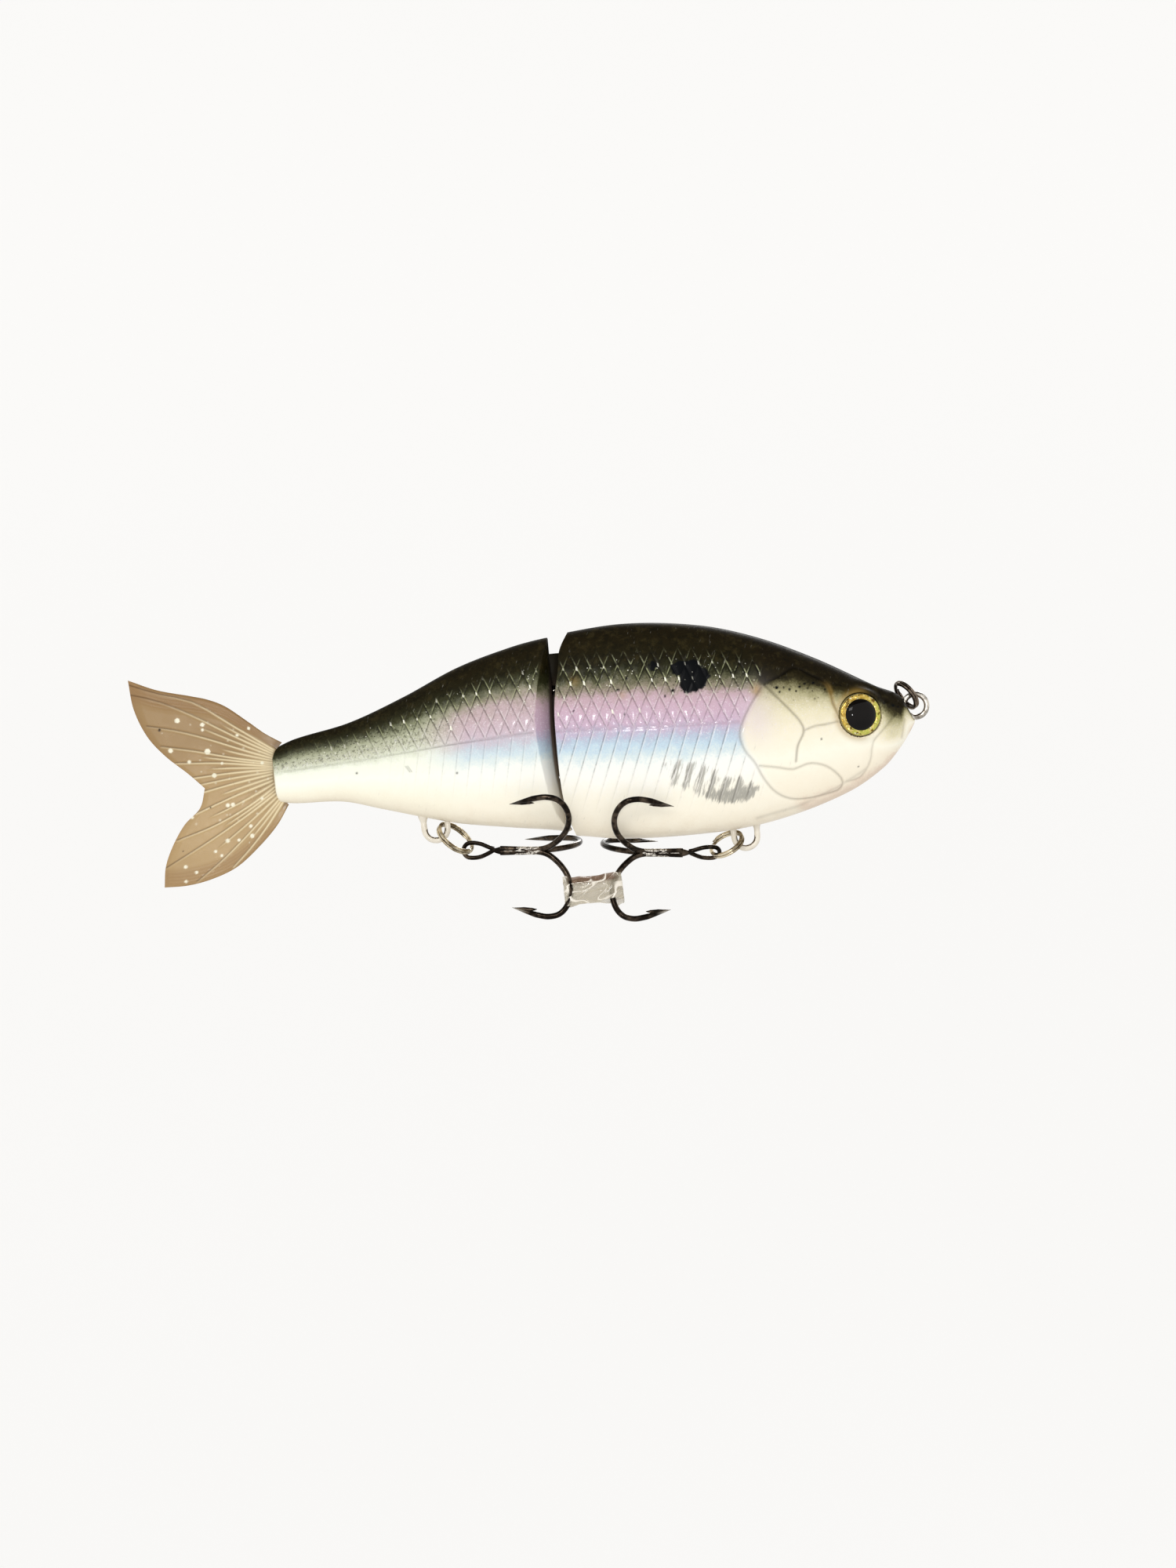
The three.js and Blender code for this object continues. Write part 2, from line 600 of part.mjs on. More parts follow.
/** A split ring: two turns of flat wire about the ring's own axis. */
function splitRing(ring) {
  const { out, across, normal } = ringAxes(ring);
  const centre = new THREE.Vector3(...ring.centre);
  const steps = 48;
  const turns = 1.86;
  const rings = [];
  for (let s = 0; s <= steps; s += 1) {
    const share = s / steps;
    const angle = share * turns * 2 * Math.PI + 0.9;
    const radial = out.clone().multiplyScalar(Math.cos(angle)).addScaledVector(across, Math.sin(angle));
    const lift = (share - 0.5) * turns * RING_WIRE.pitch;
    const corners = [[1, 1], [-1, 1], [-1, -1], [1, -1]];
    rings.push(corners.map(([r, a]) => centre.clone()
      .addScaledVector(radial, ring.radius + (r * RING_WIRE.radial) / 2)
      .addScaledVector(normal, lift + (a * RING_WIRE.axial) / 2)));
  }
  return solid(skin(rings, fanEnd));
}

/** The outline of a hook: its path, thinning to a needle point, with a barb. */
function hook(angleDegrees) {
  const angle = THREE.MathUtils.degToRad(angleDegrees);
  const point = ([along, out]) => new THREE.Vector3(
    TREBLE_BEND_START + along, -out * Math.sin(angle), out * Math.cos(angle),
  );
  const curve = new THREE.CatmullRomCurve3(HOOK_PATH.map(point), false, 'centripetal');
  const bar = wire(curve, 22, (t) => TREBLE_WIRE * Math.min(1, 0.06 + (1 - t) * 8.5), 6);
  const barbRoot = point([-3.3, 13.3]);
  const barbTip = point([-1, 12.4]);
  const barb = wire(new THREE.LineCurve3(barbRoot, barbTip), 1, (t) => 0.42 * (1 - t) + 0.03, 4);
  return bar.add(barb);
}

/** The oval eye at the end of a treble's shank, in the plane of x and the given side. */
function trebleEyeCurve() {
  const points = [];
  for (let degrees = 90; degrees <= 270; degrees += 30) {
    const angle = THREE.MathUtils.degToRad(degrees);
    points.push(new THREE.Vector3(
      TREBLE_EYE_RADIUS * Math.cos(angle), 0, TREBLE_EYE_RADIUS * Math.sin(angle),
    ));
  }
  points.push(new THREE.Vector3(2, 0, -1.4));
  points.push(new THREE.Vector3(TREBLE_EYE_LENGTH - 0.6, 0, -0.35));
  points.push(new THREE.Vector3(TREBLE_EYE_LENGTH + 1, 0, 0));
  points.push(new THREE.Vector3(TREBLE_EYE_LENGTH + 3, 0, 0));
  points.reverse();
  points.push(new THREE.Vector3(2, 0, 1.4));
  points.push(new THREE.Vector3(TREBLE_EYE_LENGTH - 0.9, 0, 0.55));
  return new THREE.CatmullRomCurve3(points, false, 'centripetal');
}

/** A treble hook along +X; its pivot, the origin, is the centre of the eye's far end. */
function treble(eyeTurn) {
  let body = wire(trebleEyeCurve(), 32, () => TREBLE_EYE_WIRE, 6).rotate([eyeTurn, 0, 0]);
  body = body.add(rod([TREBLE_EYE_LENGTH, 0, 0], [TREBLE_BEND_START + 0.5, 0, 0], TREBLE_SHANK_RADIUS, 10));
  for (const angle of HOOK_ANGLES) body = body.add(hook(angle));
  return body.rotate([0, 0, -SHANK_YAW]);
}

function rearTreble() {
  return treble(TREBLE_EYE_TURN.rear)
    .rotate([0, SHANK_TILT, 0])
    .translate(ringFarSide(REAR_RING).toArray());
}

function frontTreble() {
  return treble(TREBLE_EYE_TURN.front).mirror([1, 0, 0])
    .rotate([0, SHANK_TILT, 0])
    .translate(ringFarSide(FRONT_RING).toArray());
}

/** The clear band: a flattened sleeve standing round the two lower bends. */
function tieBand() {
  const racetrack = (inset) => {
    const [radius, outline] = [BAND.width / 2 - inset, []];
    for (let degrees = -90; degrees <= 270; degrees += 22.5) {
      const angle = THREE.MathUtils.degToRad(degrees);
      const centre = degrees <= 90 ? BAND.x1 - BAND.width / 2 : BAND.x0 + BAND.width / 2;
      outline.push([centre + radius * Math.cos(angle), radius * Math.sin(angle)]);
    }
    return outline;
  };
  const sleeve = prism(racetrack(0), -BAND.far, -BAND.near)
    .subtract(prism(racetrack(BAND.wall), -BAND.far - 1, -BAND.near + 1));
  return sleeve.rotate([-BAND.tilt, 0, 0]).translate([0, ...BAND.shank]);
}

// ------------------------------------------------------------------ the part

const FINISH = {
  painted_shell: { color: 0xd9d8cb, roughness: 0.18, metalness: 0.05 },
  white_wire: { color: 0xece8dc, roughness: 0.35, metalness: 0.1 },
  steel: { color: 0xb9b5ad, roughness: 0.28, metalness: 1 },
  black_nickel: { color: 0x2b2826, roughness: 0.3, metalness: 0.9 },
  eye: { color: 0x1a1512, roughness: 0.08, metalness: 0 },
  lead: { color: 0x6c6c70, roughness: 0.6, metalness: 0.8 },
  soft_fin: { color: 0x8f7d62, roughness: 0.4, metalness: 0 },
  clear_band: { color: 0xe6dccb, roughness: 0.25, metalness: 0 },
};

const swimbait = new THREE.Group();

function addPiece(name, body, finish) {
  const material = new THREE.MeshStandardMaterial(FINISH[finish]);
  const mesh = new THREE.Mesh(geometryOf(body), material);
  mesh.name = name;
  swimbait.add(mesh);
}

const head = headSection();
addPiece('head_shell_right', head.right, 'painted_shell');
addPiece('head_shell_left', head.left, 'painted_shell');
const tail = tailSection();
addPiece('tail_shell_right', tail.right, 'painted_shell');
addPiece('tail_shell_left', tail.left, 'painted_shell');

addPiece('eye_right', atRightEye(eyeDisc()), 'eye');
addPiece('eye_left', mirrored(atRightEye(eyeDisc())), 'eye');
for (const [name, weight] of Object.entries(BALLAST)) addPiece(name, ballast(weight), 'lead');

addPiece('line_tie_eye', wire(lineTieCurve(), 30, () => LINE_TIE_WIRE), 'steel');
addPiece('line_tie_ring', splitRing(TIE_RING), 'steel');
for (const [name, z] of Object.entries(HINGE_EYE_HEIGHTS)) addPiece(name, hingeEye(z), 'steel');
addPiece('hinge_pin', rod([HINGE_X, 0, PIN_BOTTOM], [HINGE_X, 0, PIN_TOP], PIN_RADIUS), 'steel');

const hanger = (centre, top) => wire(hangerCurve(centre, top), 28, () => HANGER_WIRE);
addPiece('front_hook_hanger', hanger(FRONT_HANGER, HANGER_TOP.front), 'white_wire');
addPiece('rear_hook_hanger', hanger(REAR_HANGER, HANGER_TOP.rear), 'white_wire');
addPiece('front_split_ring', splitRing(FRONT_RING), 'steel');
addPiece('rear_split_ring', splitRing(REAR_RING), 'steel');
addPiece('front_treble_hook', frontTreble(), 'black_nickel');
addPiece('rear_treble_hook', rearTreble(), 'black_nickel');

addPiece('tail_fin', tailFin(), 'soft_fin');
const finPin = rod([FIN_PIN_X, 0, FIN_PIN_BOTTOM], [FIN_PIN_X, 0, FIN_PIN_TOP], FIN_PIN_RADIUS, 10);
addPiece('tail_fin_pin', finPin, 'steel');
addPiece('hook_tie_band', tieBand(), 'clear_band');

export default swimbait;
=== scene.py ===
"""Looks of a two-section jointed swimbait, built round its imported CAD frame.

Every piece is made in the frame of the CAD model. Shapes are worked out in
millimetres and turned into metres when their mesh is made. +X is towards the
nose, +Z towards the back and +Y towards the bait's left side.
"""

import math

import bmesh
import bpy
import numpy as np
from mathutils import Matrix, Vector
from mathutils.geometry import delaunay_2d_cdt


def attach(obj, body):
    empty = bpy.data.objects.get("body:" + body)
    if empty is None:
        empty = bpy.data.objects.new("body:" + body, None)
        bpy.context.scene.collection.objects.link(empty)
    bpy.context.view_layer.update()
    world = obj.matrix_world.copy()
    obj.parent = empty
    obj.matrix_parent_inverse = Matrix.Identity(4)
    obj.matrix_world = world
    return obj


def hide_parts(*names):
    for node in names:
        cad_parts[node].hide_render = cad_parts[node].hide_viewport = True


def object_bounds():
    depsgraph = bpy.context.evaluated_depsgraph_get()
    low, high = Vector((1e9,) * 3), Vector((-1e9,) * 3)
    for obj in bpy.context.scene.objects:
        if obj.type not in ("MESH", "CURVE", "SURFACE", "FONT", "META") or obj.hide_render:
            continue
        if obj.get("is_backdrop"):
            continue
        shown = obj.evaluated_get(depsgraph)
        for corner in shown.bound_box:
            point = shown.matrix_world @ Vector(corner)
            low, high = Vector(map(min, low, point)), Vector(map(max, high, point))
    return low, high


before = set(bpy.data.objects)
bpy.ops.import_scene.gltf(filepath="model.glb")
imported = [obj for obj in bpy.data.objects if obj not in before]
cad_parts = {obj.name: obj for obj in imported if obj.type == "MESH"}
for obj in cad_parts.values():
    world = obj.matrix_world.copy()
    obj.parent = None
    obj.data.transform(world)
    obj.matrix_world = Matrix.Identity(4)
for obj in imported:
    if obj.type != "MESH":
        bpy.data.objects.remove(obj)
CAD_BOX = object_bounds()

MM = 0.001
RIGHT, LEFT = -1, 1


# ------------------------------------------------------------------ functions


def smooth(*points):
    """A smooth function through given (position, value) points."""
    xs, ys = np.array(points, float).T
    last = len(xs) - 1
    before = np.maximum(np.arange(last + 1) - 1, 0)
    after = np.minimum(np.arange(last + 1) + 1, last)
    slopes = (ys[after] - ys[before]) / (xs[after] - xs[before])

    def curve(at):
        i = np.clip(np.searchsorted(xs, at) - 1, 0, last - 1)
        span = xs[i + 1] - xs[i]
        t = np.clip((at - xs[i]) / span, 0, 1)
        u = 1 - t
        return (
            ys[i] * u * u * (1 + 2 * t)
            + ys[i + 1] * t * t * (3 - 2 * t)
            + span * (slopes[i] * t * u * u - slopes[i + 1] * t * t * u)
        )

    return curve


def step(low, high, value):
    """0 below low, 1 above high and a soft rise between; high may be below low."""
    t = np.clip((value - low) / (high - low), 0, 1)
    return t * t * (3 - 2 * t)


def hill(value, centre, width):
    """A bell of height 1."""
    return np.exp(-(((value - centre) / width) ** 2))


def value_noise(points, seed=0):
    """Smooth noise from -1 to 1 at points (n, 3)."""
    base = np.floor(points)
    share = points - base
    share = share * share * (3 - 2 * share)
    total = np.zeros(len(points))
    for corner in np.ndindex(2, 2, 2):
        key = (base + corner) @ np.array([127.1, 311.7, 74.7]) + seed * 53.3
        lattice = np.sin(key) * 43758.5453
        lattice = (lattice - np.floor(lattice)) * 2 - 1
        total += lattice * np.prod(np.where(corner, share, 1 - share), axis=1)
    return total


def distance_to_line(x, z, line):
    """Distance in side view from (x, z) to a line of points."""
    nearest = np.full(np.shape(x), 1e9)
    for (ax, az), (bx, bz) in zip(line[:-1], line[1:]):
        dx, dz = bx - ax, bz - az
        t = np.clip(((x - ax) * dx + (z - az) * dz) / (dx * dx + dz * dz), 0, 1)
        nearest = np.minimum(nearest, np.hypot(x - ax - t * dx, z - az - t * dz))
    return nearest


def spline(points, steps, closed=False):
    """Points evenly spaced along a centripetal Catmull-Rom curve."""
    p = np.array(points, float)
    if closed:
        p = np.vstack([p[-1], p, p[0], p[1]])
    else:
        p = np.vstack([2 * p[0] - p[1], p, 2 * p[-1] - p[-2]])
    pieces = []
    for a, b, c, d in zip(p[:-3], p[1:-2], p[2:-1], p[3:]):
        ta = 0.0
        tb = ta + max(np.linalg.norm(b - a) ** 0.5, 1e-6)
        tc = tb + max(np.linalg.norm(c - b) ** 0.5, 1e-6)
        td = tc + max(np.linalg.norm(d - c) ** 0.5, 1e-6)
        t = np.linspace(tb, tc, 24, endpoint=False)[:, None]
        ab = (tb - t) / (tb - ta) * a + (t - ta) / (tb - ta) * b
        bc = (tc - t) / (tc - tb) * b + (t - tb) / (tc - tb) * c
        cd = (td - t) / (td - tc) * c + (t - tc) / (td - tc) * d
        abc = (tc - t) / (tc - ta) * ab + (t - ta) / (tc - ta) * bc
        bcd = (td - t) / (td - tb) * bc + (t - tb) / (td - tb) * cd
        pieces.append((tc - t) / (tc - tb) * abc + (t - tb) / (tc - tb) * bcd)
    dense = np.vstack(pieces + [p[-2:-1]])
    along = np.r_[0, np.cumsum(np.linalg.norm(np.diff(dense, axis=0), axis=1))]
    at = np.linspace(0, along[-1], steps)
    return np.stack([np.interp(at, along, dense[:, k]) for k in range(3)], axis=1)


def turned(points, degrees, axis):
    """Points turned about a coordinate axis through the origin."""
    angle = math.radians(degrees)
    c, s = math.cos(angle), math.sin(angle)
    j, k = {"x": (1, 2), "y": (2, 0), "z": (0, 1)}[axis]
    out = np.array(points, float)
    a, b = out[..., j].copy(), out[..., k].copy()
    out[..., j], out[..., k] = c * a - s * b, s * a + c * b
    return out


# --------------------------------------------------------------------- meshes


def linked(name, data):
    """A new object in the scene for some data."""
    thing = bpy.data.objects.new(name, data)
    bpy.context.scene.collection.objects.link(thing)
    return thing


class Shape:
    """Closed skins gathered into one mesh, with a number per point for each mask."""

    def __init__(self):
        self.points, self.faces, self.masks, self.count = [], [], {}, 0

    def add(self, points, faces, **masks):
        """Adds points (n, 3) in millimetres, faces between them and their masks."""
        points = np.asarray(points, float).reshape(-1, 3)
        self.faces += [[int(k) + self.count for k in face] for face in faces]
        for name, values in masks.items():
            flat = np.broadcast_to(values, (len(points),)) if np.ndim(values) == 0 else np.ravel(values)
            self.masks.setdefault(name, []).append((self.count, flat))
        self.points.append(points)
        self.count += len(points)

    def piece(self, name, body, nodes, finish, crease=35):
        """Makes the mesh object, ready to ride on a body in place of CAD nodes."""
        mesh = bpy.data.meshes.new(name)
        mesh.from_pydata(np.vstack(self.points) * MM, [], self.faces)
        for mask, parts in self.masks.items():
            values = np.zeros(self.count, np.float32)
            for start, flat in parts:
                values[start : start + len(flat)] = flat
            mesh.attributes.new(mask, "FLOAT", "POINT").data.foreach_set("value", values)
        mesh.validate()
        thing = linked(name, mesh)
        face_outwards(mesh)
        mesh.shade_smooth()
        mesh.set_sharp_from_angle(angle=math.radians(crease))
        mesh.materials.append(finish.material)
        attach(thing, body)
        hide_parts(*nodes)


def face_outwards(mesh):
    """Joins points in the same place and turns every face of a closed mesh outwards."""
    bm = bmesh.new()
    bm.from_mesh(mesh)
    bmesh.ops.remove_doubles(bm, verts=bm.verts, dist=1e-7)
    bmesh.ops.recalc_face_normals(bm, faces=bm.faces)
    bm.to_mesh(mesh)
    bm.free()


def grid_faces(rows, columns, wrap=False):
    """Quads between the points of a grid, its columns joined round if wrap."""
    r, c = np.meshgrid(np.arange(rows - 1), np.arange(columns if wrap else columns - 1), indexing="ij")
    d = (c + 1) % columns
    quads = [r * columns + c, (r + 1) * columns + c, (r + 1) * columns + d, r * columns + d]
    return np.stack(quads, axis=-1).reshape(-1, 4).tolist()


def capped_faces(rows, columns):
    """Quads of a grid joined round, with a face over its first row and its last."""
    last = (rows - 1) * columns
    return grid_faces(rows, columns, wrap=True) + [list(range(columns)), [last + k for k in range(columns)]]


def doubled(values):
    """Values of one layer repeated for a second layer."""
    return np.concatenate([np.ravel(values), np.ravel(values)])


def tube(path, radius, sides=20, flatten=1.0, side=None):
    """Points and faces of a round bar along a path; radius may vary along it."""
    path = np.asarray(path, float)
    radii = np.broadcast_to(radius, (len(path),))
    along = np.gradient(path, axis=0)
    along /= np.linalg.norm(along, axis=1)[:, None]
    if side is None:
        side = np.cross(along[0], [0.13, 0.97, 0.21])
    normals = []
    for direction in along:
        side = side - direction * np.dot(side, direction)
        side = side / np.linalg.norm(side)
        normals.append(side)
    normals = np.array(normals)
    others = np.cross(along, normals)
    turn = np.linspace(0, 2 * np.pi, sides, endpoint=False)
    rings = (
        path[:, None]
        + (radii[:, None] * np.cos(turn))[..., None] * normals[:, None]
        + (radii[:, None] * np.sin(turn) * flatten)[..., None] * others[:, None]
    )
    return rings, capped_faces(len(path), sides)


# ------------------------------------------------------------------- finishes


def display(r, g, b):
    """An opaque colour as it looks on a screen, 0 to 255, for a shader."""

    def linear(value):
        value /= 255
        return value / 12.92 if value <= 0.04045 else ((value + 0.055) / 1.055) ** 2.4

    return (linear(r), linear(g), linear(b), 1.0)


class Finish:
    """A node material for a slot of the record."""

    def __init__(self, name, slot, **sockets):
        self.slot = slot
        self.material = bpy.data.materials.new(name)
        self.material.use_nodes = True
        self.nodes = self.material.node_tree.nodes
        self.links = self.material.node_tree.links
        self.shader = self.nodes["Principled BSDF"]
        self.place = self.nodes.new("ShaderNodeTexCoord").outputs["Object"]
        for socket, value in sockets.items():
            self.set(**{socket: value})

    def set(self, **sockets):
        """Sets or links inputs of the shader, named with _ for each space."""
        for name, value in sockets.items():
            self.put(self.shader.inputs[name.replace("_", " ")], value)

    def put(self, socket, value):
        if isinstance(value, bpy.types.NodeSocket):
            self.links.new(value, socket)
        else:
            socket.default_value = value

    def mask(self, name):
        node = self.nodes.new("ShaderNodeAttribute")
        node.attribute_name = name
        return node.outputs["Fac"]

    def math(self, operation, a, b=0.5):
        node = self.nodes.new("ShaderNodeMath")
        node.operation = operation
        self.put(node.inputs[0], a)
        self.put(node.inputs[1], b)
        return node.outputs[0]

    def band(self, value, low, high, to_low=0.0, to_high=1.0):
        """A soft step of value from low to high."""
        node = self.nodes.new("ShaderNodeMapRange")
        node.interpolation_type = "SMOOTHSTEP"
        for socket, number in zip(node.inputs[:5], (value, low, high, to_low, to_high)):
            self.put(socket, number)
        return node.outputs[0]

    def mix(self, share, a, b, kind="MIX"):
        node = self.nodes.new("ShaderNodeMix")
        node.data_type, node.blend_type = "RGBA", kind
        self.put(node.inputs[0], share)
        self.put(node.inputs[6], a)
        self.put(node.inputs[7], b)
        return node.outputs[2]

    def ramp(self, share, stops):
        node = self.nodes.new("ShaderNodeValToRGB")
        elements = node.color_ramp.elements
        elements.remove(elements[1])
        for index, (place, colour) in enumerate(stops):
            element = elements[0] if index == 0 else elements.new(place)
            element.position, element.color = place, display(*colour)
        self.put(node.inputs[0], share)
        return node.outputs["Color"]

    def stretched(self, scale, turn=0.0):
        """Object coordinates turned about Y by degrees, then scaled per axis."""
        node = self.nodes.new("ShaderNodeMapping")
        node.vector_type = "TEXTURE"
        self.put(node.inputs["Vector"], self.place)
        node.inputs["Rotation"].default_value = (0, math.radians(turn), 0)
        node.inputs["Scale"].default_value = [1 / size for size in scale]
        return node.outputs[0]

    def noise(self, scale, detail=3.0, rough=0.55, place=None):
        node = self.nodes.new("ShaderNodeTexNoise")
        self.put(node.inputs["Vector"], place or self.place)
        node.inputs["Scale"].default_value = scale
        node.inputs["Detail"].default_value = detail
        node.inputs["Roughness"].default_value = rough
        return node.outputs["Fac"]

    def cells(self, scale):
        node = self.nodes.new("ShaderNodeTexVoronoi")
        self.put(node.inputs["Vector"], self.place)
        node.inputs["Scale"].default_value = scale
        return node.outputs["Distance"]

    def stripes(self, phase, shift, half):
        """Lines where a phase plus a shift is whole, with a half width in phases."""
        away = self.math("PINGPONG", self.total(phase, shift), 0.5)
        return self.band(away, half, 0.35 * half)

    def folded(self, operation, values):
        """An operation taken over values one after the other."""
        result = values[0]
        for value in values[1:]:
            result = self.math(operation, result, value)
        return result

    def product(self, *factors):
        return self.folded("MULTIPLY", factors)

    def total(self, *terms):
        return self.folded("ADD", terms)

    def largest(self, *values):
        return self.folded("MAXIMUM", values)

    def axis(self, name):
        node = self.nodes.new("ShaderNodeSeparateXYZ")
        self.put(node.inputs[0], self.place)
        return node.outputs[name]

    def bump(self, height, strength, distance):
        node = self.nodes.new("ShaderNodeBump")
        node.inputs["Strength"].default_value = strength
        node.inputs["Distance"].default_value = distance
        self.put(node.inputs["Height"], height)
        self.put(self.shader.inputs["Normal"], node.outputs[0])


# Airbrushed colours from the belly (0) over the lateral line (0.5) to the back (1).
FLANK_COLOURS = [
    (0.0, (238, 227, 206)), (0.04, (245, 236, 216)), (0.1, (249, 242, 224)), (0.18, (251, 246, 230)),
    (0.28, (252, 251, 244)), (0.335, (243, 247, 243)), (0.375, (217, 231, 234)), (0.41, (196, 218, 232)),
    (0.445, (186, 200, 218)), (0.478, (192, 184, 206)), (0.52, (203, 177, 198)), (0.6, (205, 175, 191)),
    (0.65, (194, 167, 174)), (0.69, (148, 138, 121)), (0.73, (96, 95, 71)), (0.77, (47, 48, 28)),
    (0.83, (30, 27, 12)), (0.93, (33, 27, 12)), (1.0, (28, 22, 10)),
]
PEDUNCLE_COLOURS = [
    (0.0, (234, 224, 202)), (0.05, (240, 232, 212)), (0.12, (246, 241, 221)), (0.3, (252, 252, 239)),
    (0.44, (243, 246, 230)), (0.5, (222, 226, 206)), (0.58, (198, 200, 176)), (0.67, (176, 179, 152)),
    (0.74, (122, 125, 98)), (0.79, (66, 68, 44)), (0.85, (38, 37, 20)), (0.92, (30, 26, 12)),
    (1.0, (28, 22, 10)),
]
FACE_COLOURS = [
    (0.0, (226, 208, 186)), (0.03, (234, 216, 196)), (0.08, (246, 236, 215)), (0.3, (252, 248, 231)),
    (0.45, (245, 237, 213)), (0.54, (233, 225, 193)), (0.62, (212, 204, 168)), (0.69, (168, 162, 124)),
    (0.75, (92, 87, 57)), (0.79, (46, 41, 23)), (0.85, (31, 26, 12)), (1.0, (30, 24, 11)),
]
# Colours of the faces inside the joint, from the belly to the back: their own colour, darkened with painted
# shade of the narrow gap.
INSIDE_SHADED_COLOURS = [
    (0.0, (196, 182, 160)), (0.2, (168, 156, 136)), (0.36, (126, 112, 98)), (0.5, (92, 79, 69)),
    (0.66, (74, 62, 54)), (0.8, (36, 32, 24)), (1.0, (26, 24, 16)),
]


def scale_marks(f, tone):
    """Painted shade in the lines of the scales and ribs, painted highlights along one side of them and
    painted glints where they cross, each 0 to 1.
    """
    first, second, rib = f.mask("first"), f.mask("second"), f.mask("rib")
    strong, weak, ribbed = f.mask("strong"), f.mask("weak"), f.mask("ribbed")
    broken = f.band(f.noise(900, 3, 0.6), 0.42, 0.6)
    # Painted shade in the engraved lines of the scales and ribs.
    lines = f.largest(
        f.product(f.stripes(first, 0, 0.085), strong), f.product(f.stripes(second, 0, 0.075), weak, 0.85)
    )
    dark_lines = f.product(lines, f.band(tone, 0.6, 0.74, 0.4, 0.85), f.band(broken, 0, 1, 0.65, 1.0))
    in_blue = f.product(f.band(tone, 0.26, 0.36), f.band(tone, 0.5, 0.46))
    rib_lines = f.product(f.stripes(rib, 0, 0.07), ribbed, f.band(in_blue, 0, 1, 0.2, 0.46))
    dark = f.largest(dark_lines, f.product(rib_lines, f.band(broken, 0, 1, 0.6, 1.0)))

    # Painted highlights along one side of each line.
    edges = f.largest(
        f.product(f.stripes(first, -0.1, 0.06), strong), f.product(f.stripes(second, 0.1, 0.055), weak, 0.8)
    )
    edges = f.product(edges, f.band(f.noise(700, 2), 0.4, 0.58), f.band(tone, 0.92, 0.8))
    light = f.largest(
        f.product(edges, f.band(tone, 0.62, 0.7, 0.34, 0.62)),
        f.product(f.stripes(rib, -0.1, 0.055), ribbed, 0.4),
    )

    # Painted glints at some crossings of the lines, and fine painted sparkles in the darker bands.
    crossing = f.nodes.new("ShaderNodeCombineXYZ")
    f.put(crossing.inputs[0], f.math("ROUND", first))
    f.put(crossing.inputs[1], f.math("ROUND", second))
    lot = f.nodes.new("ShaderNodeTexWhiteNoise")
    f.put(lot.inputs["Vector"], crossing.outputs[0])
    lot = lot.outputs["Value"]
    along = f.math("PINGPONG", f.total(second, 0.06), 0.5)
    across = f.math("PINGPONG", f.math("SUBTRACT", first, 0.04), 0.5)
    size = f.band(lot, 0.2, 1.0, 0.07, 0.19)
    near = f.math("SUBTRACT", f.total(along, f.product(across, 1.7)), size)
    shoulder = f.product(f.band(tone, 0.64, 0.71), f.band(tone, 0.86, 0.78))
    often = f.product(shoulder, f.band(lot, 0.2, 0.5))
    seldom = f.product(f.band(tone, 0.5, 0.6), f.band(tone, 0.9, 0.82), f.band(lot, 0.86, 0.95))
    painted_glint = f.product(f.band(near, 0.02, -0.05), strong, f.largest(often, seldom))
    painted_sparkle = f.band(f.cells(1100), 0.2, 0.1)
    lively = f.product(f.band(tone, 0.53, 0.66), f.band(tone, 0.86, 0.78), f.band(strong, 0.0, 0.3))
    painted_glint = f.largest(painted_glint, f.product(painted_sparkle, lively, f.band(f.noise(820, 2), 0.5, 0.6), 0.85))
    return dark, light, painted_glint


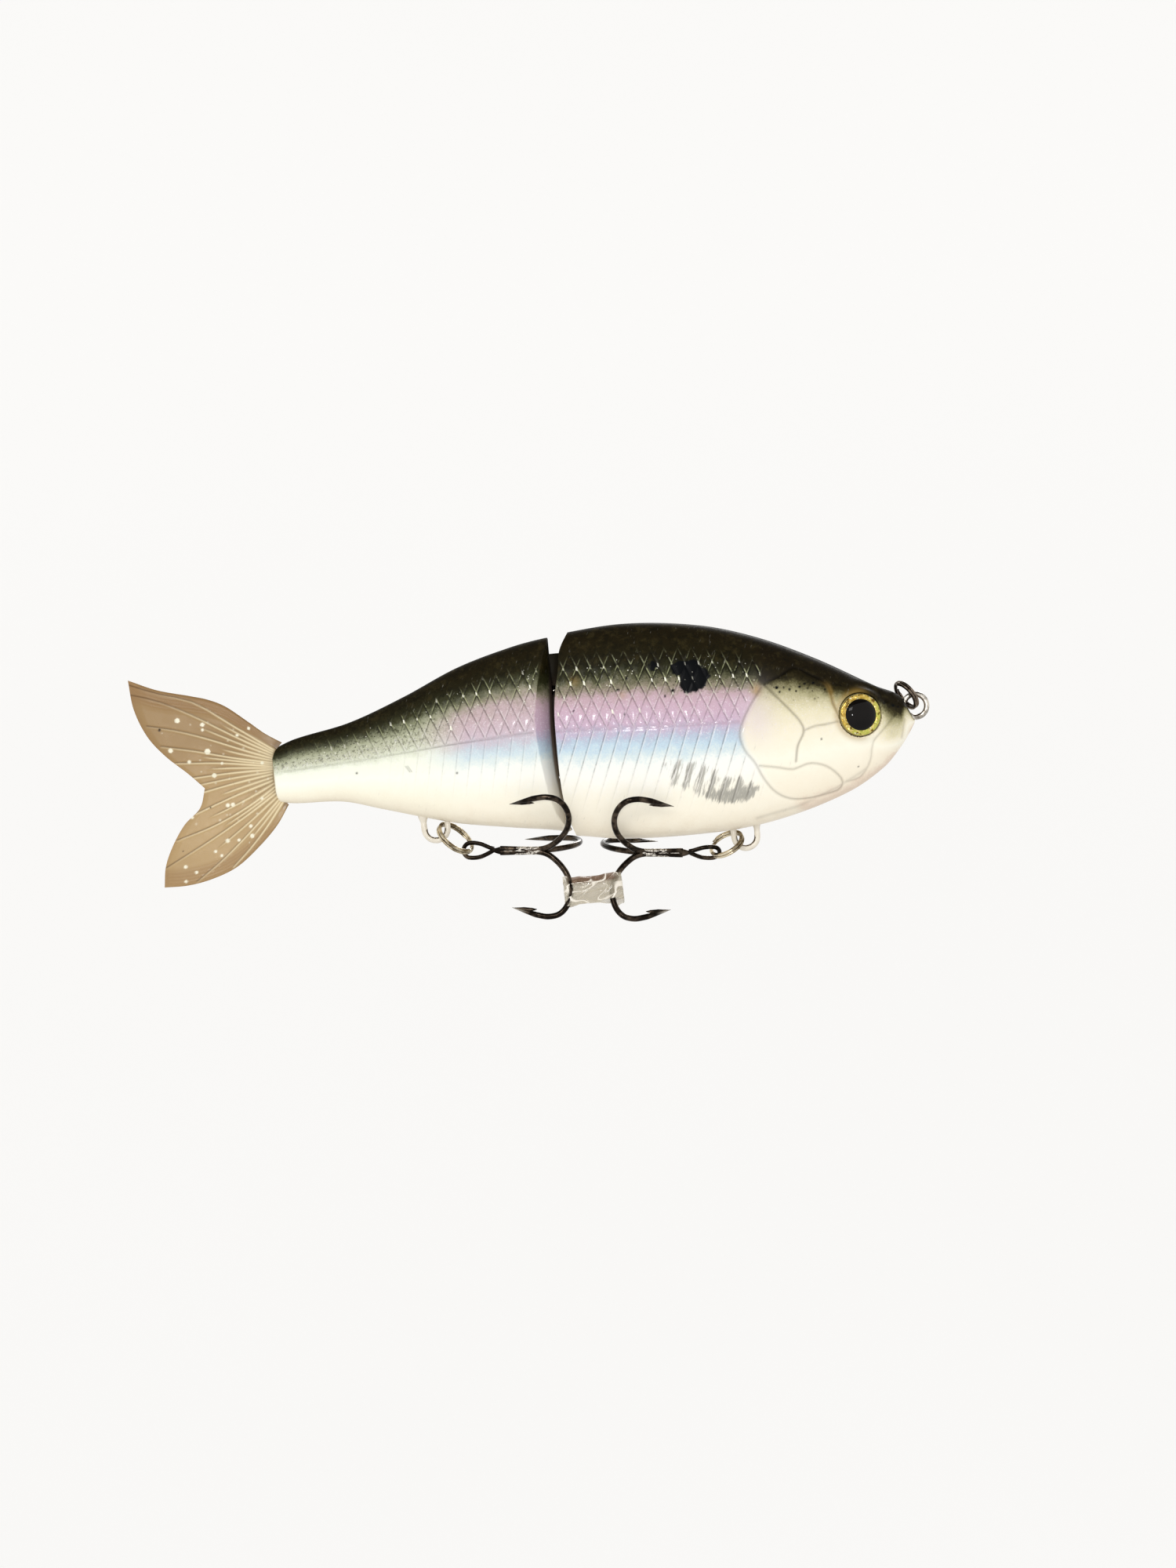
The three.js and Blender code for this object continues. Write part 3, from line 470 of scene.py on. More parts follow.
def painted_shell():
    """Airbrushed and speckled paint under a gloss coat, with painted shade in its grooves and painted
    highlights and glints on its scales.
    """
    f = Finish("airbrushed_shell", "painted_shell", Coat_Roughness=0.1, Specular_IOR_Level=0.05)
    mottle = f.noise(420, 4)
    spray = f.noise(2600, 2)
    uneven = f.product(f.math("SUBTRACT", mottle, 0.5), 0.09)
    grain = f.product(f.math("SUBTRACT", spray, 0.5), 0.06)
    tone = f.total(f.mask("tone"), uneven, grain)
    rear, face = f.mask("rear"), f.mask("face")
    colour = f.mix(rear, f.ramp(tone, FLANK_COLOURS), f.ramp(tone, PEDUNCLE_COLOURS))
    colour = f.mix(face, colour, f.ramp(tone, FACE_COLOURS))

    # The back is clouded with lighter olive.
    cloud = f.band(f.noise(520, 6, 0.72), 0.5, 0.64)
    clouded = f.product(cloud, f.band(tone, 0.74, 0.82), 0.34)
    colour = f.mix(clouded, colour, display(68, 60, 34))
    pits = f.product(f.band(f.noise(760, 5, 0.7), 0.5, 0.4), f.band(tone, 0.7, 0.8), 0.5)
    colour = f.mix(pits, colour, display(18, 17, 9))
    # Fine black flecks at the edge of the dark back, more of them towards the tail.
    fleck = f.band(f.cells(1150), 0.22, 0.13)
    where = f.product(f.band(f.noise(300, 2), 0.48, 0.58), f.band(tone, 0.6, 0.7))
    colour = f.mix(f.product(fleck, where, 0.8), colour, display(20, 17, 10))
    dust = f.product(f.band(f.noise(1750, 3, 0.7), 0.51, 0.62), f.band(tone, 0.44, 0.64), rear, 0.6)
    colour = f.mix(dust, colour, display(46, 44, 26))
    # Pearl shimmer in the pink and blue bands.
    pearl = f.band(f.noise(2900, 2), 0.54, 0.7)
    bands = f.product(f.band(tone, 0.36, 0.44), f.band(tone, 0.7, 0.6))
    colour = f.mix(f.product(pearl, bands, 0.36), colour, display(244, 240, 246))
    # Amber accents, then foil rubbed through between the ribs.
    colour = f.mix(f.mask("amber"), colour, display(172, 140, 72))
    streak = f.noise(1.0, 3, 0.6, f.stretched((2200, 420, 360), 21.8))
    from_rib = f.math("PINGPONG", f.total(f.mask("rib"), -0.14), 0.5)
    teeth = f.product(f.mask("teeth"), f.band(from_rib, 0.5, 0.02, 0.3, 1.0))
    worn = f.product(f.math("SUBTRACT", streak, 0.5), 2.2)
    rubbed = f.total(f.largest(f.mask("foil"), teeth), worn)
    foil = f.band(rubbed, 0.3, 0.95)
    silver = f.mix(streak, display(104, 101, 92), display(204, 202, 192))
    colour = f.mix(f.product(foil, 0.9), colour, silver)
    colour = f.mix(f.product(f.mask("lilac"), 0.5), colour, display(226, 212, 222))

    # Painted shade darkens the lines and grooves, painted highlights follow one side of the lines, and
    # painted glints come last, fewer over the black spot.
    dark, light, painted_glint = scale_marks(f, tone)
    dark = f.largest(dark, f.mask("groove"), f.product(f.stripes(f.mask("rib"), 0, 0.1), foil, 0.36))
    colour = f.mix(dark, colour, display(84, 76, 70), "MULTIPLY")
    edge = f.mix(f.band(tone, 0.6, 0.72), display(246, 242, 240), display(178, 182, 140))
    colour = f.mix(light, colour, edge)
    colour = f.mix(f.mask("spot"), colour, display(8, 10, 13))
    bare = f.math("SUBTRACT", 1.0, f.product(f.mask("spot"), 0.75))
    colour = f.mix(f.product(painted_glint, bare), colour, display(250, 248, 232))
    # The faces inside the joint take their colours with painted shade of the gap.
    colour = f.mix(f.mask("inner"), colour, f.ramp(tone, INSIDE_SHADED_COLOURS))
    f.set(Base_Color=colour, Metallic=f.product(foil, 0.35))
    # The gloss is thinner over the dark back.
    f.set(Coat_Weight=f.product(f.band(tone, 0.82, 0.5, 0.03, 0.32), bare))
    dull = f.band(tone, 0.8, 0.94, 0.0, 0.3)
    f.set(Roughness=f.total(f.band(spray, 0.2, 0.8, 0.27, 0.42), dull))
    f.bump(f.total(spray, f.product(mottle, 2.0)), 0.25, 0.00003)
    return f


def moulded_eye():
    """A black domed pupil in a ring of crumpled gold foil, with painted shade and painted highlights on the
    foil.
    """
    f = Finish("domed_eye", "moulded_eye", Specular_IOR_Level=0.17)
    radius = f.mask("radius")
    ring = f.product(f.band(radius, 3.3, 3.42), f.band(radius, 4.46, 4.36))
    slope = f.total(f.axis("X"), f.product(f.axis("Z"), -1.0))
    lime = f.band(slope, -0.0152, -0.0078)
    gold = f.mix(lime, display(206, 170, 78), display(198, 198, 96))
    # Dark cells on the foil are painted shade of its crumples, its pale and near-white spots painted
    # highlights.
    gold = f.mix(f.band(f.cells(900), 0.58, 0.84), gold, display(112, 84, 30))
    gold = f.mix(f.band(f.noise(1500, 3, 0.6), 0.5, 0.62), gold, display(228, 206, 128))
    gold = f.mix(f.band(f.noise(1250, 2), 0.64, 0.7), gold, display(255, 252, 226))
    black = f.mix(f.noise(300, 2), display(5, 4, 3), display(16, 12, 9))
    # The thin rim is its own cream-gold, lightened as a painted highlight.
    rim = f.mix(f.noise(900, 2), display(214, 202, 146), display(146, 128, 72))
    colour = f.mix(f.band(radius, 4.3, 4.42), f.mix(ring, black, gold), rim)
    f.set(Base_Color=colour, Metallic=f.product(ring, 0.75))
    f.set(Roughness=f.band(ring, 0.0, 1.0, 0.05, 0.22))
    f.bump(f.product(f.cells(1350), ring), 0.7, 0.00022)
    return f


def metal(name, slot, low, high, rough, metallic=1.0, drawn=True):
    """Wire with fine drawing marks, tarnish and a few bright rubs."""
    f = Finish(name, slot, Metallic=metallic)
    cloud = f.noise(520, 4, 0.6)
    colour = f.mix(f.band(cloud, 0.38, 0.62), display(*low), display(*high))
    scratch = f.noise(1.0, 2, 0.5, f.stretched((900, 5200, 5200))) if drawn else f.noise(3000, 2)
    f.set(Base_Color=f.mix(f.band(scratch, 0.56, 0.75, 0, 0.35), colour, display(*high)))
    f.set(Roughness=f.band(cloud, 0.3, 0.7, rough * 0.75, rough * 1.35))
    f.bump(scratch, 0.2, 0.00002)
    return f


def white_wire():
    """White paint on wire, chipped to grey metal where the ring rubs it."""
    f = Finish("white_painted_wire", "white_wire", Coat_Weight=0.4, Coat_Roughness=0.15)
    wear = f.total(f.mask("rubbed"), f.product(f.noise(1500, 4, 0.65), 0.8))
    chips = f.band(wear, 0.95, 1.02)
    paint = f.mix(f.noise(700, 3), display(206, 196, 178), display(244, 238, 224))
    f.set(Base_Color=f.mix(chips, paint, display(118, 106, 92)), Metallic=f.product(chips, 0.9))
    f.set(Roughness=f.band(chips, 0, 1, 0.32, 0.42))
    f.bump(f.math("SUBTRACT", f.noise(1100, 3), chips), 0.4, 0.00008)
    return f


def hook_wire():
    """Black nickel wire with gritty grey braze along the shank."""
    f = Finish("black_nickel_hook", "hook_wire", Metallic=1.0)
    tarnish = f.noise(480, 4, 0.6)
    wire = f.mix(f.band(tarnish, 0.42, 0.66), display(30, 25, 21), display(84, 73, 62))
    grit = f.noise(2300, 4, 0.7)
    braze = f.band(f.total(f.mask("braze"), f.product(grit, 0.7)), 0.92, 1.12)
    solder = f.mix(f.band(grit, 0.4, 0.62), display(92, 84, 76), display(228, 222, 212))
    colour = f.mix(braze, wire, solder)
    colour = f.mix(f.mask("worn"), colour, display(196, 190, 180))
    f.set(Base_Color=colour)
    f.set(Roughness=f.total(f.band(tarnish, 0.3, 0.7, 0.1, 0.22), f.product(braze, 0.28)))
    f.bump(f.product(grit, f.total(braze, 0.08)), 0.8, 0.00012)
    return f


def soft_fin():
    """Smoke-tan translucent soft plastic with raised rays, painted with shade beside them and a highlight
    along them.
    """
    f = Finish("soft_smoke_fin", "soft_fin", Transmission_Weight=0.15, IOR=1.42, Coat_Weight=0.12)
    f.set(Coat_Roughness=0.12, Specular_IOR_Level=0.2)
    cloud = f.noise(70, 3, 0.5)
    lobe = f.band(f.axis("Z"), -0.006, 0.009)
    lighter, darker = display(202, 173, 126), display(178, 148, 103)
    colour = f.mix(lobe, f.mix(cloud, lighter, darker), f.mix(cloud, darker, display(154, 123, 82)))
    colour = f.mix(f.product(f.mask("edge"), 0.45), colour, display(146, 108, 74))
    # Painted shade beside the rays and at their roots, and a painted highlight along each raised ray.
    colour = f.mix(f.product(f.mask("valley"), 0.85), colour, display(104, 76, 44))
    colour = f.mix(f.product(f.mask("ray"), 0.9), colour, display(250, 234, 194))
    colour = f.mix(f.mask("flake"), colour, display(255, 250, 226))
    colour = f.mix(f.mask("speck"), colour, display(60, 44, 28))
    f.set(Base_Color=colour, Roughness=f.band(cloud, 0.3, 0.7, 0.22, 0.36))
    f.bump(f.noise(700, 3), 0.25, 0.0001)
    return f


def clear_band():
    """Clear film, whitened where it is creased, partly by its own whitening and partly as painted highlights,
    with a painted brown reflection along its lip.
    """
    f = Finish("clear_tie_film", "clear_band", IOR=1.46, Coat_Weight=0.3)
    # The creases are whitened partly as painted highlights; the lip carries a painted brown reflection.
    crease = f.band(f.total(f.mask("crease"), f.product(f.noise(420, 3), 0.4)), 0.42, 1.1)
    tint = f.mix(f.mask("lip"), display(206, 197, 176), display(138, 110, 88))
    f.set(Base_Color=f.mix(crease, tint, display(250, 244, 232)))
    f.set(Roughness=f.band(crease, 0, 1, 0.08, 0.4), Transmission_Weight=f.band(crease, 0, 1, 0.35, 0.1))
    f.set(Alpha=f.largest(f.band(crease, 0, 1, 0.46, 0.92), f.product(f.mask("lip"), 0.78)))
    f.bump(f.noise(330, 2), 0.5, 0.0002)
    return f


PAINT = painted_shell()
EYE = moulded_eye()
BRIGHT = metal("bright_drawn_wire", "bright_wire", (128, 120, 110), (220, 214, 204), 0.18)
SMOKED = metal("smoked_ring_wire", "smoked_ring", (52, 42, 36), (132, 118, 104), 0.22)
GOLDEN = metal("golden_ring_wire", "split_ring", (112, 97, 72), (224, 212, 186), 0.2)
LEAD = metal("cast_weight", "ballast_metal", (84, 84, 86), (134, 134, 138), 0.55, 0.8, drawn=False)
WHITE_WIRE = white_wire()
HOOK = hook_wire()
FIN = soft_fin()
FILM = clear_band()


# ----------------------------------------------------------------- the shells

SEAM = 0.02  # from the middle plane to each half
# Angles in degrees above which an edge stays sharp.
SHELL_CREASE, FITTING_CREASE, SOFT_CREASE, BAND_CREASE = 55, 60, 50, 80


class Section:
    """Outlines of a section in side view, and its half width."""

    def __init__(self, back, belly, mid, half):
        self.back, self.belly, self.mid, self.half = back, belly, mid, half

    def skin(self, x, turn):
        """Points of the right side; turn 0 is the back and 1 the belly."""
        angle = turn * np.pi
        mid = self.mid(x)
        rise = np.cos(angle)
        reach = np.where(rise > 0, self.back(x) - mid, mid - self.belly(x))
        z = mid + np.sign(rise) * np.abs(rise) ** 0.92 * reach
        y = -self.half(x) * np.clip(np.sin(angle), 0, 1) ** 0.88
        return np.stack([x, y, z], axis=-1)

    def rows(self, x_at, shares, turn):
        """Rows of the skin at x_at(share, height)."""
        share, across = np.meshgrid(shares, turn, indexing="ij")
        first = self.skin(x_at(share, 0.0 * share), across)
        return self.skin(x_at(share, first[..., 2]), across)

    def tone(self, x, z):
        """0 at the belly, 0.5 at the lateral line and 1 at the back."""
        line = LATERAL(x)
        above = (z - line) / np.maximum(self.back(x) - line, 0.5)
        below = (line - z) / np.maximum(line - self.belly(x), 0.5)
        return np.clip(0.5 + 0.5 * np.where(z > line, above, -below), 0, 1)


HEAD = Section(
    smooth((-76.5, 22.9), (-60, 23.8), (-44, 21.8), (-32, 18), (-20, 12.2), (-8, 5.1), (-3, 2.4),
           (-1.4, -0.8), (-0.4, -3.2)),
    smooth((-76.5, -19.6), (-63, -21.8), (-43, -22.3), (-30, -20.8), (-16, -16.8), (-8, -12.4),
           (-4, -8.5), (-1.5, -5.2), (-0.4, -3.4)),
    smooth((-76.5, 2.6), (-38, 0.4), (-12, -0.9), (-4, -1.8), (-0.4, -3.3)),
    smooth((-76.5, 8.9), (-60, 10.1), (-46, 10.5), (-32, 9.9), (-20, 8.5), (-8, 5.6), (-4, 3.8),
           (-1.4, 1.5), (-0.4, 0.25)),
)
TAIL = Section(
    smooth((-137, 4.9), (-132, 6.7), (-120, 9), (-108, 13.2), (-96, 18.2), (-84, 21.4), (-76.3, 22.6),
           (-74, 22.6)),
    smooth((-137, -6.2), (-133, -6.9), (-123, -7.6), (-115, -10), (-100, -14.5), (-88, -16.8),
           (-78, -18.5), (-74.5, -19.8)),
    smooth((-137, -0.4), (-120, 0.6), (-95, 2.3), (-74, 2.6)),
    smooth((-137, 2.5), (-125, 3.3), (-115, 4.5), (-100, 6.6), (-90, 7.9), (-80, 8.8), (-74, 8.9)),
)
LATERAL = smooth((-137, -0.1), (-120, 0.6), (-108, 1.3), (-95, 2.2), (-80, 2.6), (-65, 1.9), (-53, 1.2),
                 (-38, 0.4), (-20, -0.4), (-10, -1.2), (-0.4, -3.3))
HEAD_RIM = smooth((-20, -74.3), (-16.8, -75.4), (-10.4, -76.4), (0, -76.5), (8, -76.1), (16.2, -74.5),
                  (19.8, -73.8), (23.3, -71.6))
TAIL_RIDGE = smooth((-19.5, -75.6), (-16.8, -77.3), (-14, -78.6), (-9.8, -79.6), (0.7, -80.7),
                    (7, -80.5), (16.6, -78.4), (22.6, -76.4))
TAIL_FRONT = smooth((-19.5, -75), (-17, -75.9), (-10.4, -76.6), (-5, -77), (3, -76.9), (11.4, -76.4),
                    (22, -76.2))

# Engraved lines of the face, in side view.
GILL_LINES = {
    "cover_rear": [(-32.4, 7.2), (-35.8, 2.6), (-37.6, -0.8), (-38, -2.9), (-37.1, -6), (-35.5, -8.3),
                   (-33.8, -12.1), (-31.5, -15.3), (-28.5, -17), (-24.5, -17.3), (-20.8, -16.8),
                   (-17.8, -16), (-17.1, -14.6), (-18.2, -12.7), (-20.5, -10.8), (-23.7, -9.9),
                   (-25.9, -10.4), (-27.4, -10.8), (-31, -10), (-34.5, -9.3)],
    "cover_front": [(-31.7, 7.7), (-29.4, 4.9), (-26.8, 1.7), (-24.9, -1), (-24.4, -2.9), (-26, -6),
                    (-26.7, -9.2)],
    "cheek": [(-24.4, -2.9), (-22.2, -2.2), (-19.6, -2), (-17, -1.7)],
    "crown": [(-31.7, 7.7), (-28.3, 9.1), (-25.2, 10.6), (-21.7, 8.8), (-18.4, 6.3), (-17.7, 2.5),
              (-16.6, -1.2)],
    "mouth": [(-4.6, -1.4), (-6.7, -3.7), (-9.5, -6.3), (-10.2, -8), (-10.9, -10.9), (-13.2, -13.9),
              (-16.2, -14.7)],
    "lip": [(-2.6, -2.7), (-3.1, -4.6), (-3.6, -6.5)],
}
SCALE_PITCH = 2.86
SCALE_LEAN = 0.394  # sideways run of the stronger scale lines per unit of height
SCALE_RISE = 0.51  # the same for the weaker lines, which run the other way
EYE_PLACE = np.array([-12.2, 0.0, -0.75])
EYE_TURN = 14
EYE_CENTRE = EYE_PLACE + [0, 0.25 - HEAD.half(EYE_PLACE[0]), 0]


# Where the gill cover begins and the scales end, as x over height.
GILL_EDGE = smooth((-24, -24), (-17, -28.5), (-15.3, -31.5), (-12.1, -33.8), (-8.3, -35.5), (-6, -37.1),
                   (-2.9, -38), (-0.8, -37.6), (2.6, -35.8), (7.2, -32.4), (9.5, -29), (11, -25), (20, -22))
SCALE_END = smooth((-4, -38.6), (2.6, -36.8), (7.2, -33.6), (12, -31.5), (16, -33), (24, -40))


def raise_mask(masks, name, values):
    """Lifts a mask to at least some values."""
    masks[name] = np.maximum(masks[name], values)


def relief(section, x, z, side_on):
    """Height of the engraving in mm, and the painted masks, at side-view points."""
    line = LATERAL(x)
    above = z - line
    tone = section.tone(x, z)
    on_head = section is HEAD
    masks = {"tone": tone}

    # Diamond scales above the lateral line.
    body = step(SCALE_END(z) + 0.2, SCALE_END(z) - 0.9, x) if on_head else step(-132, -126, x)
    top = step(0.9, 0.78, tone) * side_on
    faded = 1.0 if on_head else 0.35 + 0.65 * step(-122, -104, x)
    scaled = body * step(0.0, 0.4, above) * top * faded
    first = (x + SCALE_LEAN * above) / SCALE_PITCH
    second = (x - SCALE_RISE * above) / SCALE_PITCH
    weaker = 1.0 if on_head else step(-120, -100, x)
    to_first = np.abs(first - np.round(first)) * SCALE_PITCH * 0.93
    to_second = np.abs(second - np.round(second)) * SCALE_PITCH * 0.89
    cut = np.maximum(hill(to_first, 0, 0.17), 0.8 * weaker * hill(to_second, 0, 0.16)) * scaled
    height = -0.15 * cut
    # Each scale swells a little towards its middle.
    height = height + 0.05 * scaled * np.minimum(to_first, to_second)

    # Ribs below it.
    lean = 0.4 if on_head else 0.22
    rib = (x - lean * above) / SCALE_PITCH
    to_rib = np.abs(rib - np.round(rib)) * SCALE_PITCH * 0.93
    body = step(GILL_EDGE(z) - 0.4, GILL_EDGE(z) - 1.4, x) if on_head else step(-128, -118, x)
    low = step(0.08, 0.3, tone) if on_head else step(0.12, 0.3, tone)
    ribbed = body * step(0.0, -0.4, above) * low * side_on
    strength = 1.0 if on_head else 0.45 * step(-118, -98, x)
    notch = hill(to_rib, 0, 0.17) * ribbed * strength
    height = height - 0.13 * notch

    # The lateral line.
    body = step(GILL_EDGE(z) - 0.2, GILL_EDGE(z) - 0.9, x) if on_head else step(-136, -134, x)
    flank_line = hill(above, 0, 0.2) * body
    height = height - 0.14 * flank_line + 0.04 * hill(above, -0.5, 0.25) * body
    # The lateral line's groove is painted darker, as shade.
    groove = 0.42 * flank_line * (1.0 if on_head else 0.45 + 0.55 * step(-118, -98, x))
    masks.update(first=first, second=second, rib=rib, strong=scaled, weak=scaled * weaker)
    masks["ribbed"] = ribbed * strength

    for name in ("face", "amber", "lilac", "foil", "teeth", "spot"):
        masks[name] = np.zeros_like(x)
    masks["rear"] = step(-90, -108, x) if on_head else np.maximum(step(-90, -108, x), 0.22)
    if on_head:
        masks["lilac"] = hill(np.hypot(x + 34.0, (z - 1.0) * 0.7), 0, 3.6)
        masks["face"] = step(GILL_EDGE(z) - 0.8, GILL_EDGE(z) + 1.6, x)
        masks["tone"] = tone + face_shade(x, z)
        height, groove = carve_face(x, z, height, groove, side_on, masks)
        add_spots(x, z, masks)
    else:
        slanted = (x + 108.3) + (z + 2.2) * 0.6
        marks = np.maximum(hill(slanted, -0.22, 0.13), hill(slanted, 0.2, 0.12))
        marks = marks * step(0.85, 0.6, np.abs(z + 2.2))
        rear_dot, front_dot = np.hypot(x + 119.4, z + 1.9), np.hypot(x + 98.2, z + 4.1)
        dots = hill(np.minimum(rear_dot, front_dot), 0, 0.22)
        masks["spot"] = np.maximum(0.5 * marks, dots)
        masks["tone"] = tone - 0.04 * step(0.6, 0.7, tone) * step(0.92, 0.8, tone) * step(-110, -96, x)
    masks["groove"] = np.clip(groove, 0, 1)
    return height, masks


def face_shade(x, z):
    """How much darker the paint is above the crown line and round the snout."""
    crown_x = (-33, -28.3, -25.2, -21.7, -18.4, -13, -8, -4)
    crown = np.interp(x, crown_x, (7.4, 9.1, 10.6, 8.8, 6.3, 4.8, 2.2, 0.0))
    above = 0.075 * step(-0.3, 0.5, z - crown) * step(-33.5, -31.5, x)
    under = 0.03 * step(-4, 0, z - crown) * step(-32, -29, x)
    snout = step(-11.5, -5, x) * np.interp(z, (-9.5, -6.2, -2, 1, 3), (0, 0.32, 0.2, 0.04, 0))
    tip = 0.34 * step(-3.6, -1.4, x)
    return above + under + snout - tip


def carve_face(x, z, height, groove, side_on, masks):
    """Gill covers, mouth and brow, with painted shade along their grooves."""
    for name, line in GILL_LINES.items():
        away = distance_to_line(x, z, spline([(a, 0, b) for a, b in line], 60)[:, [0, 2]])
        depth = {"lip": 0.08, "mouth": 0.16, "crown": 0.16}.get(name, 0.2)
        height = height - (depth * hill(away, 0, 0.26) + 0.6 * depth * np.exp(-away / 0.8)) * side_on
        # Each engraved line is painted darker along its groove, as shade.
        shade = {"cover_rear": 0.36, "cover_front": 0.5, "crown": 0.4, "cheek": 0.4}.get(name, 0.24)
        groove = np.maximum(groove, shade * hill(away, 0, 0.24) * side_on)
        if name == "crown":
            below = step(8.0, 4.5, z) * step(-21, -18.6, x)
            raise_mask(masks, "amber", 0.6 * hill(away, 0, 0.5) * below)
            groove = np.maximum(groove, 0.7 * hill(away, 0, 0.3) * step(5.5, 7.5, z))
    raise_mask(masks, "amber", 0.8 * hill(np.hypot(x + 33.6, (z - 6.6) * 0.8), 0, 1.05))
    from_eye = np.hypot(x - EYE_PLACE[0], z - EYE_PLACE[2])
    raise_mask(masks, "amber", 0.45 * hill(from_eye, 5.0, 0.7) * step(-9, -13, x))
    # A brow over the eye, a low cheek under it and the nostril.
    height = height + 0.35 * hill(from_eye, 6.6, 1.2) * step(1, 4, z) * side_on
    nostril = np.hypot((x + 6.2) * 0.8, z - 1.6)
    height = height - 0.3 * hill(nostril, 0, 0.45) * side_on
    # The nostril is painted darker, as shade in its hollow.
    groove = np.maximum(groove, 0.6 * hill(nostril, 0, 0.4))
    # The thin keel line along the lower jaw, only painted, as a thin line of shade.
    keel = distance_to_line(x, z, [(-36, -20.2), (-27, -18.6), (-18, -15.4), (-12, -12.3)])
    groove = np.maximum(groove, 0.18 * hill(keel, 0, 0.35))
    return height, groove


SHOULDER_SPOT = [(-50.8, 13.6), (-49.4, 14.5), (-47.6, 14.0), (-46.0, 14.3), (-45.1, 13.7), (-45.0, 13.1),
                 (-43.4, 11.9), (-43.1, 10.8), (-43.9, 9.8), (-44.3, 8.8), (-45.7, 8.2), (-47.3, 7.6),
                 (-48.5, 8.0), (-49.0, 8.9), (-49.2, 10.0), (-49.4, 11.5), (-50.6, 12.3)]
SPECKS = [(-54.6, 14.2, 0.95), (-62.6, 9.8, 0.34), (-51.1, 8.5, 0.34), (-52.8, 7.4, 0.3), (-61.7, 4.6, 0.2),
          (-60.5, 12.1, 0.3), (-72.3, 6.3, 0.2), (-29.2, 6.8, 0.3), (-27.7, 6.6, 0.24), (-26.5, 6.1, 0.28),
          (-25.2, 5.6, 0.22), (-24.3, 6.4, 0.3), (-23.3, 7.0, 0.26), (-21.4, 7.0, 0.28), (-28.7, 5.8, 0.2),
          (-22.7, 6.0, 0.18), (-21.4, 3.6, 0.16), (-19.0, 5.4, 0.2), (-4.9, 0.5, 0.3), (-6.8, 1.2, 0.22),
          (-3.8, 0.2, 0.26), (-20.9, -5, 0.16), (-13.6, -11.6, 0.14)]
UPPER_FOIL = [(-55.4, -6.2), (-50.6, -6.0), (-46.4, -7.0), (-42.9, -9.0), (-43.0, -12.6), (-45.4, -15.6),
              (-48.0, -14.6), (-50.6, -12.8), (-53.8, -11.6)]
LOWER_FOIL = [(-48.4, -12.8), (-46.0, -9.9), (-42.3, -10.3), (-38.6, -10.9), (-35.7, -12.5), (-34.6, -13.8),
              (-36.6, -16.0), (-39.2, -16.7), (-43.0, -16.7), (-46.5, -15.2)]


def from_outline(x, z, outline):
    """Distance in side view to a closed outline, below 0 inside it."""
    inside = np.zeros(x.shape, bool)
    outline = outline + outline[:1]
    for (ax, az), (bx, bz) in zip(outline[:-1], outline[1:]):
        crossing = (az > z) != (bz > z)
        with np.errstate(divide="ignore", invalid="ignore"):
            inside ^= crossing & (x < (bx - ax) * (z - az) / (bz - az) + ax)
    return distance_to_line(x, z, outline) * np.where(inside, -1, 1)


def add_spots(x, z, masks):
    """The black shoulder spot, small specks and the two brushed foil patches."""
    points = np.stack([x, 0 * x, z], axis=-1).reshape(-1, 3)
    ragged = 0.28 * value_noise(points * 1.6, 3).reshape(x.shape)
    spot = step(0.34, 0.1, from_outline(x, z, SHOULDER_SPOT) + ragged)
    for sx, sz, radius in SPECKS:
        near = np.hypot(x - sx, z - sz) + 0.4 * radius * value_noise(points * 2.3, 5).reshape(x.shape)
        spot = np.maximum(spot, step(radius + 0.12, radius - 0.12, near))
    masks["spot"] = spot
    # One patch behind the gill cover and one under it, its foot rubbed solid.
    upper = step(0.9, -1.3, from_outline(x, z, UPPER_FOIL))
    lower = step(0.9, -1.3, from_outline(x, z, LOWER_FOIL))
    masks["foil"] = lower * step(-11.8, -14.4, z)
    masks["teeth"] = np.maximum(lower, 0.8 * upper)
    raise_mask(masks, "amber", 0.3 * hill(np.hypot(x + 71.5, z - 12.4), 0, 1.1))
    raise_mask(masks, "amber", 0.35 * hill(np.hypot(x + 61.8, z - 8.6), 0, 0.8))


def outward(points):
    """Unit normals of a grid of right-side points."""
    along, across = np.gradient(points, axis=0), np.gradient(points, axis=1)
    normal = np.cross(across, along)
    length = np.linalg.norm(normal, axis=-1, keepdims=True)
    normal = normal / np.maximum(length, 1e-9)
    flip = np.sign(np.sum(normal * [0, -1, 0], axis=-1, keepdims=True))
    return normal * np.where(flip == 0, 1, flip)


def engraved(section, points):
    """Skin points with their engraving, and their masks."""
    normal = outward(points)
    side_on = step(0.12, 0.45, np.abs(normal[..., 1]))
    height, masks = relief(section, points[..., 0], points[..., 2], side_on)
    height[:, [0, -1]] = 0
    return points + normal * height[..., None], masks


def add_half(shape, points, side, masks):
    """Adds a half shell: a skin from top to bottom, closed along the middle plane."""
    rows, columns = points.shape[:2]
    points = points.copy()
    points[..., 1] = -np.maximum(np.abs(points[..., 1]), SEAM)
    points[:, [0, -1], 1] = -SEAM
    points[[0, -1], :, 1] = -SEAM
    points[..., 1] *= -side
    grid = np.arange(rows * columns).reshape(rows, columns)
    border = np.concatenate([grid[0], grid[1:, -1], grid[-1, -2::-1], grid[-2:0:-1, 0]])
    outline = [Vector(point) for point in points.reshape(-1, 3)[border][:, [0, 2]].tolist()]
    whole = [list(range(len(outline)))]
    _, _, triangles, came_from, _, _ = delaunay_2d_cdt(outline, [], whole, 1, 1e-5)
    seam = [[int(border[came_from[k][0]]) for k in corners] for corners in triangles]
    shape.add(points, grid_faces(rows, columns) + seam, **masks)


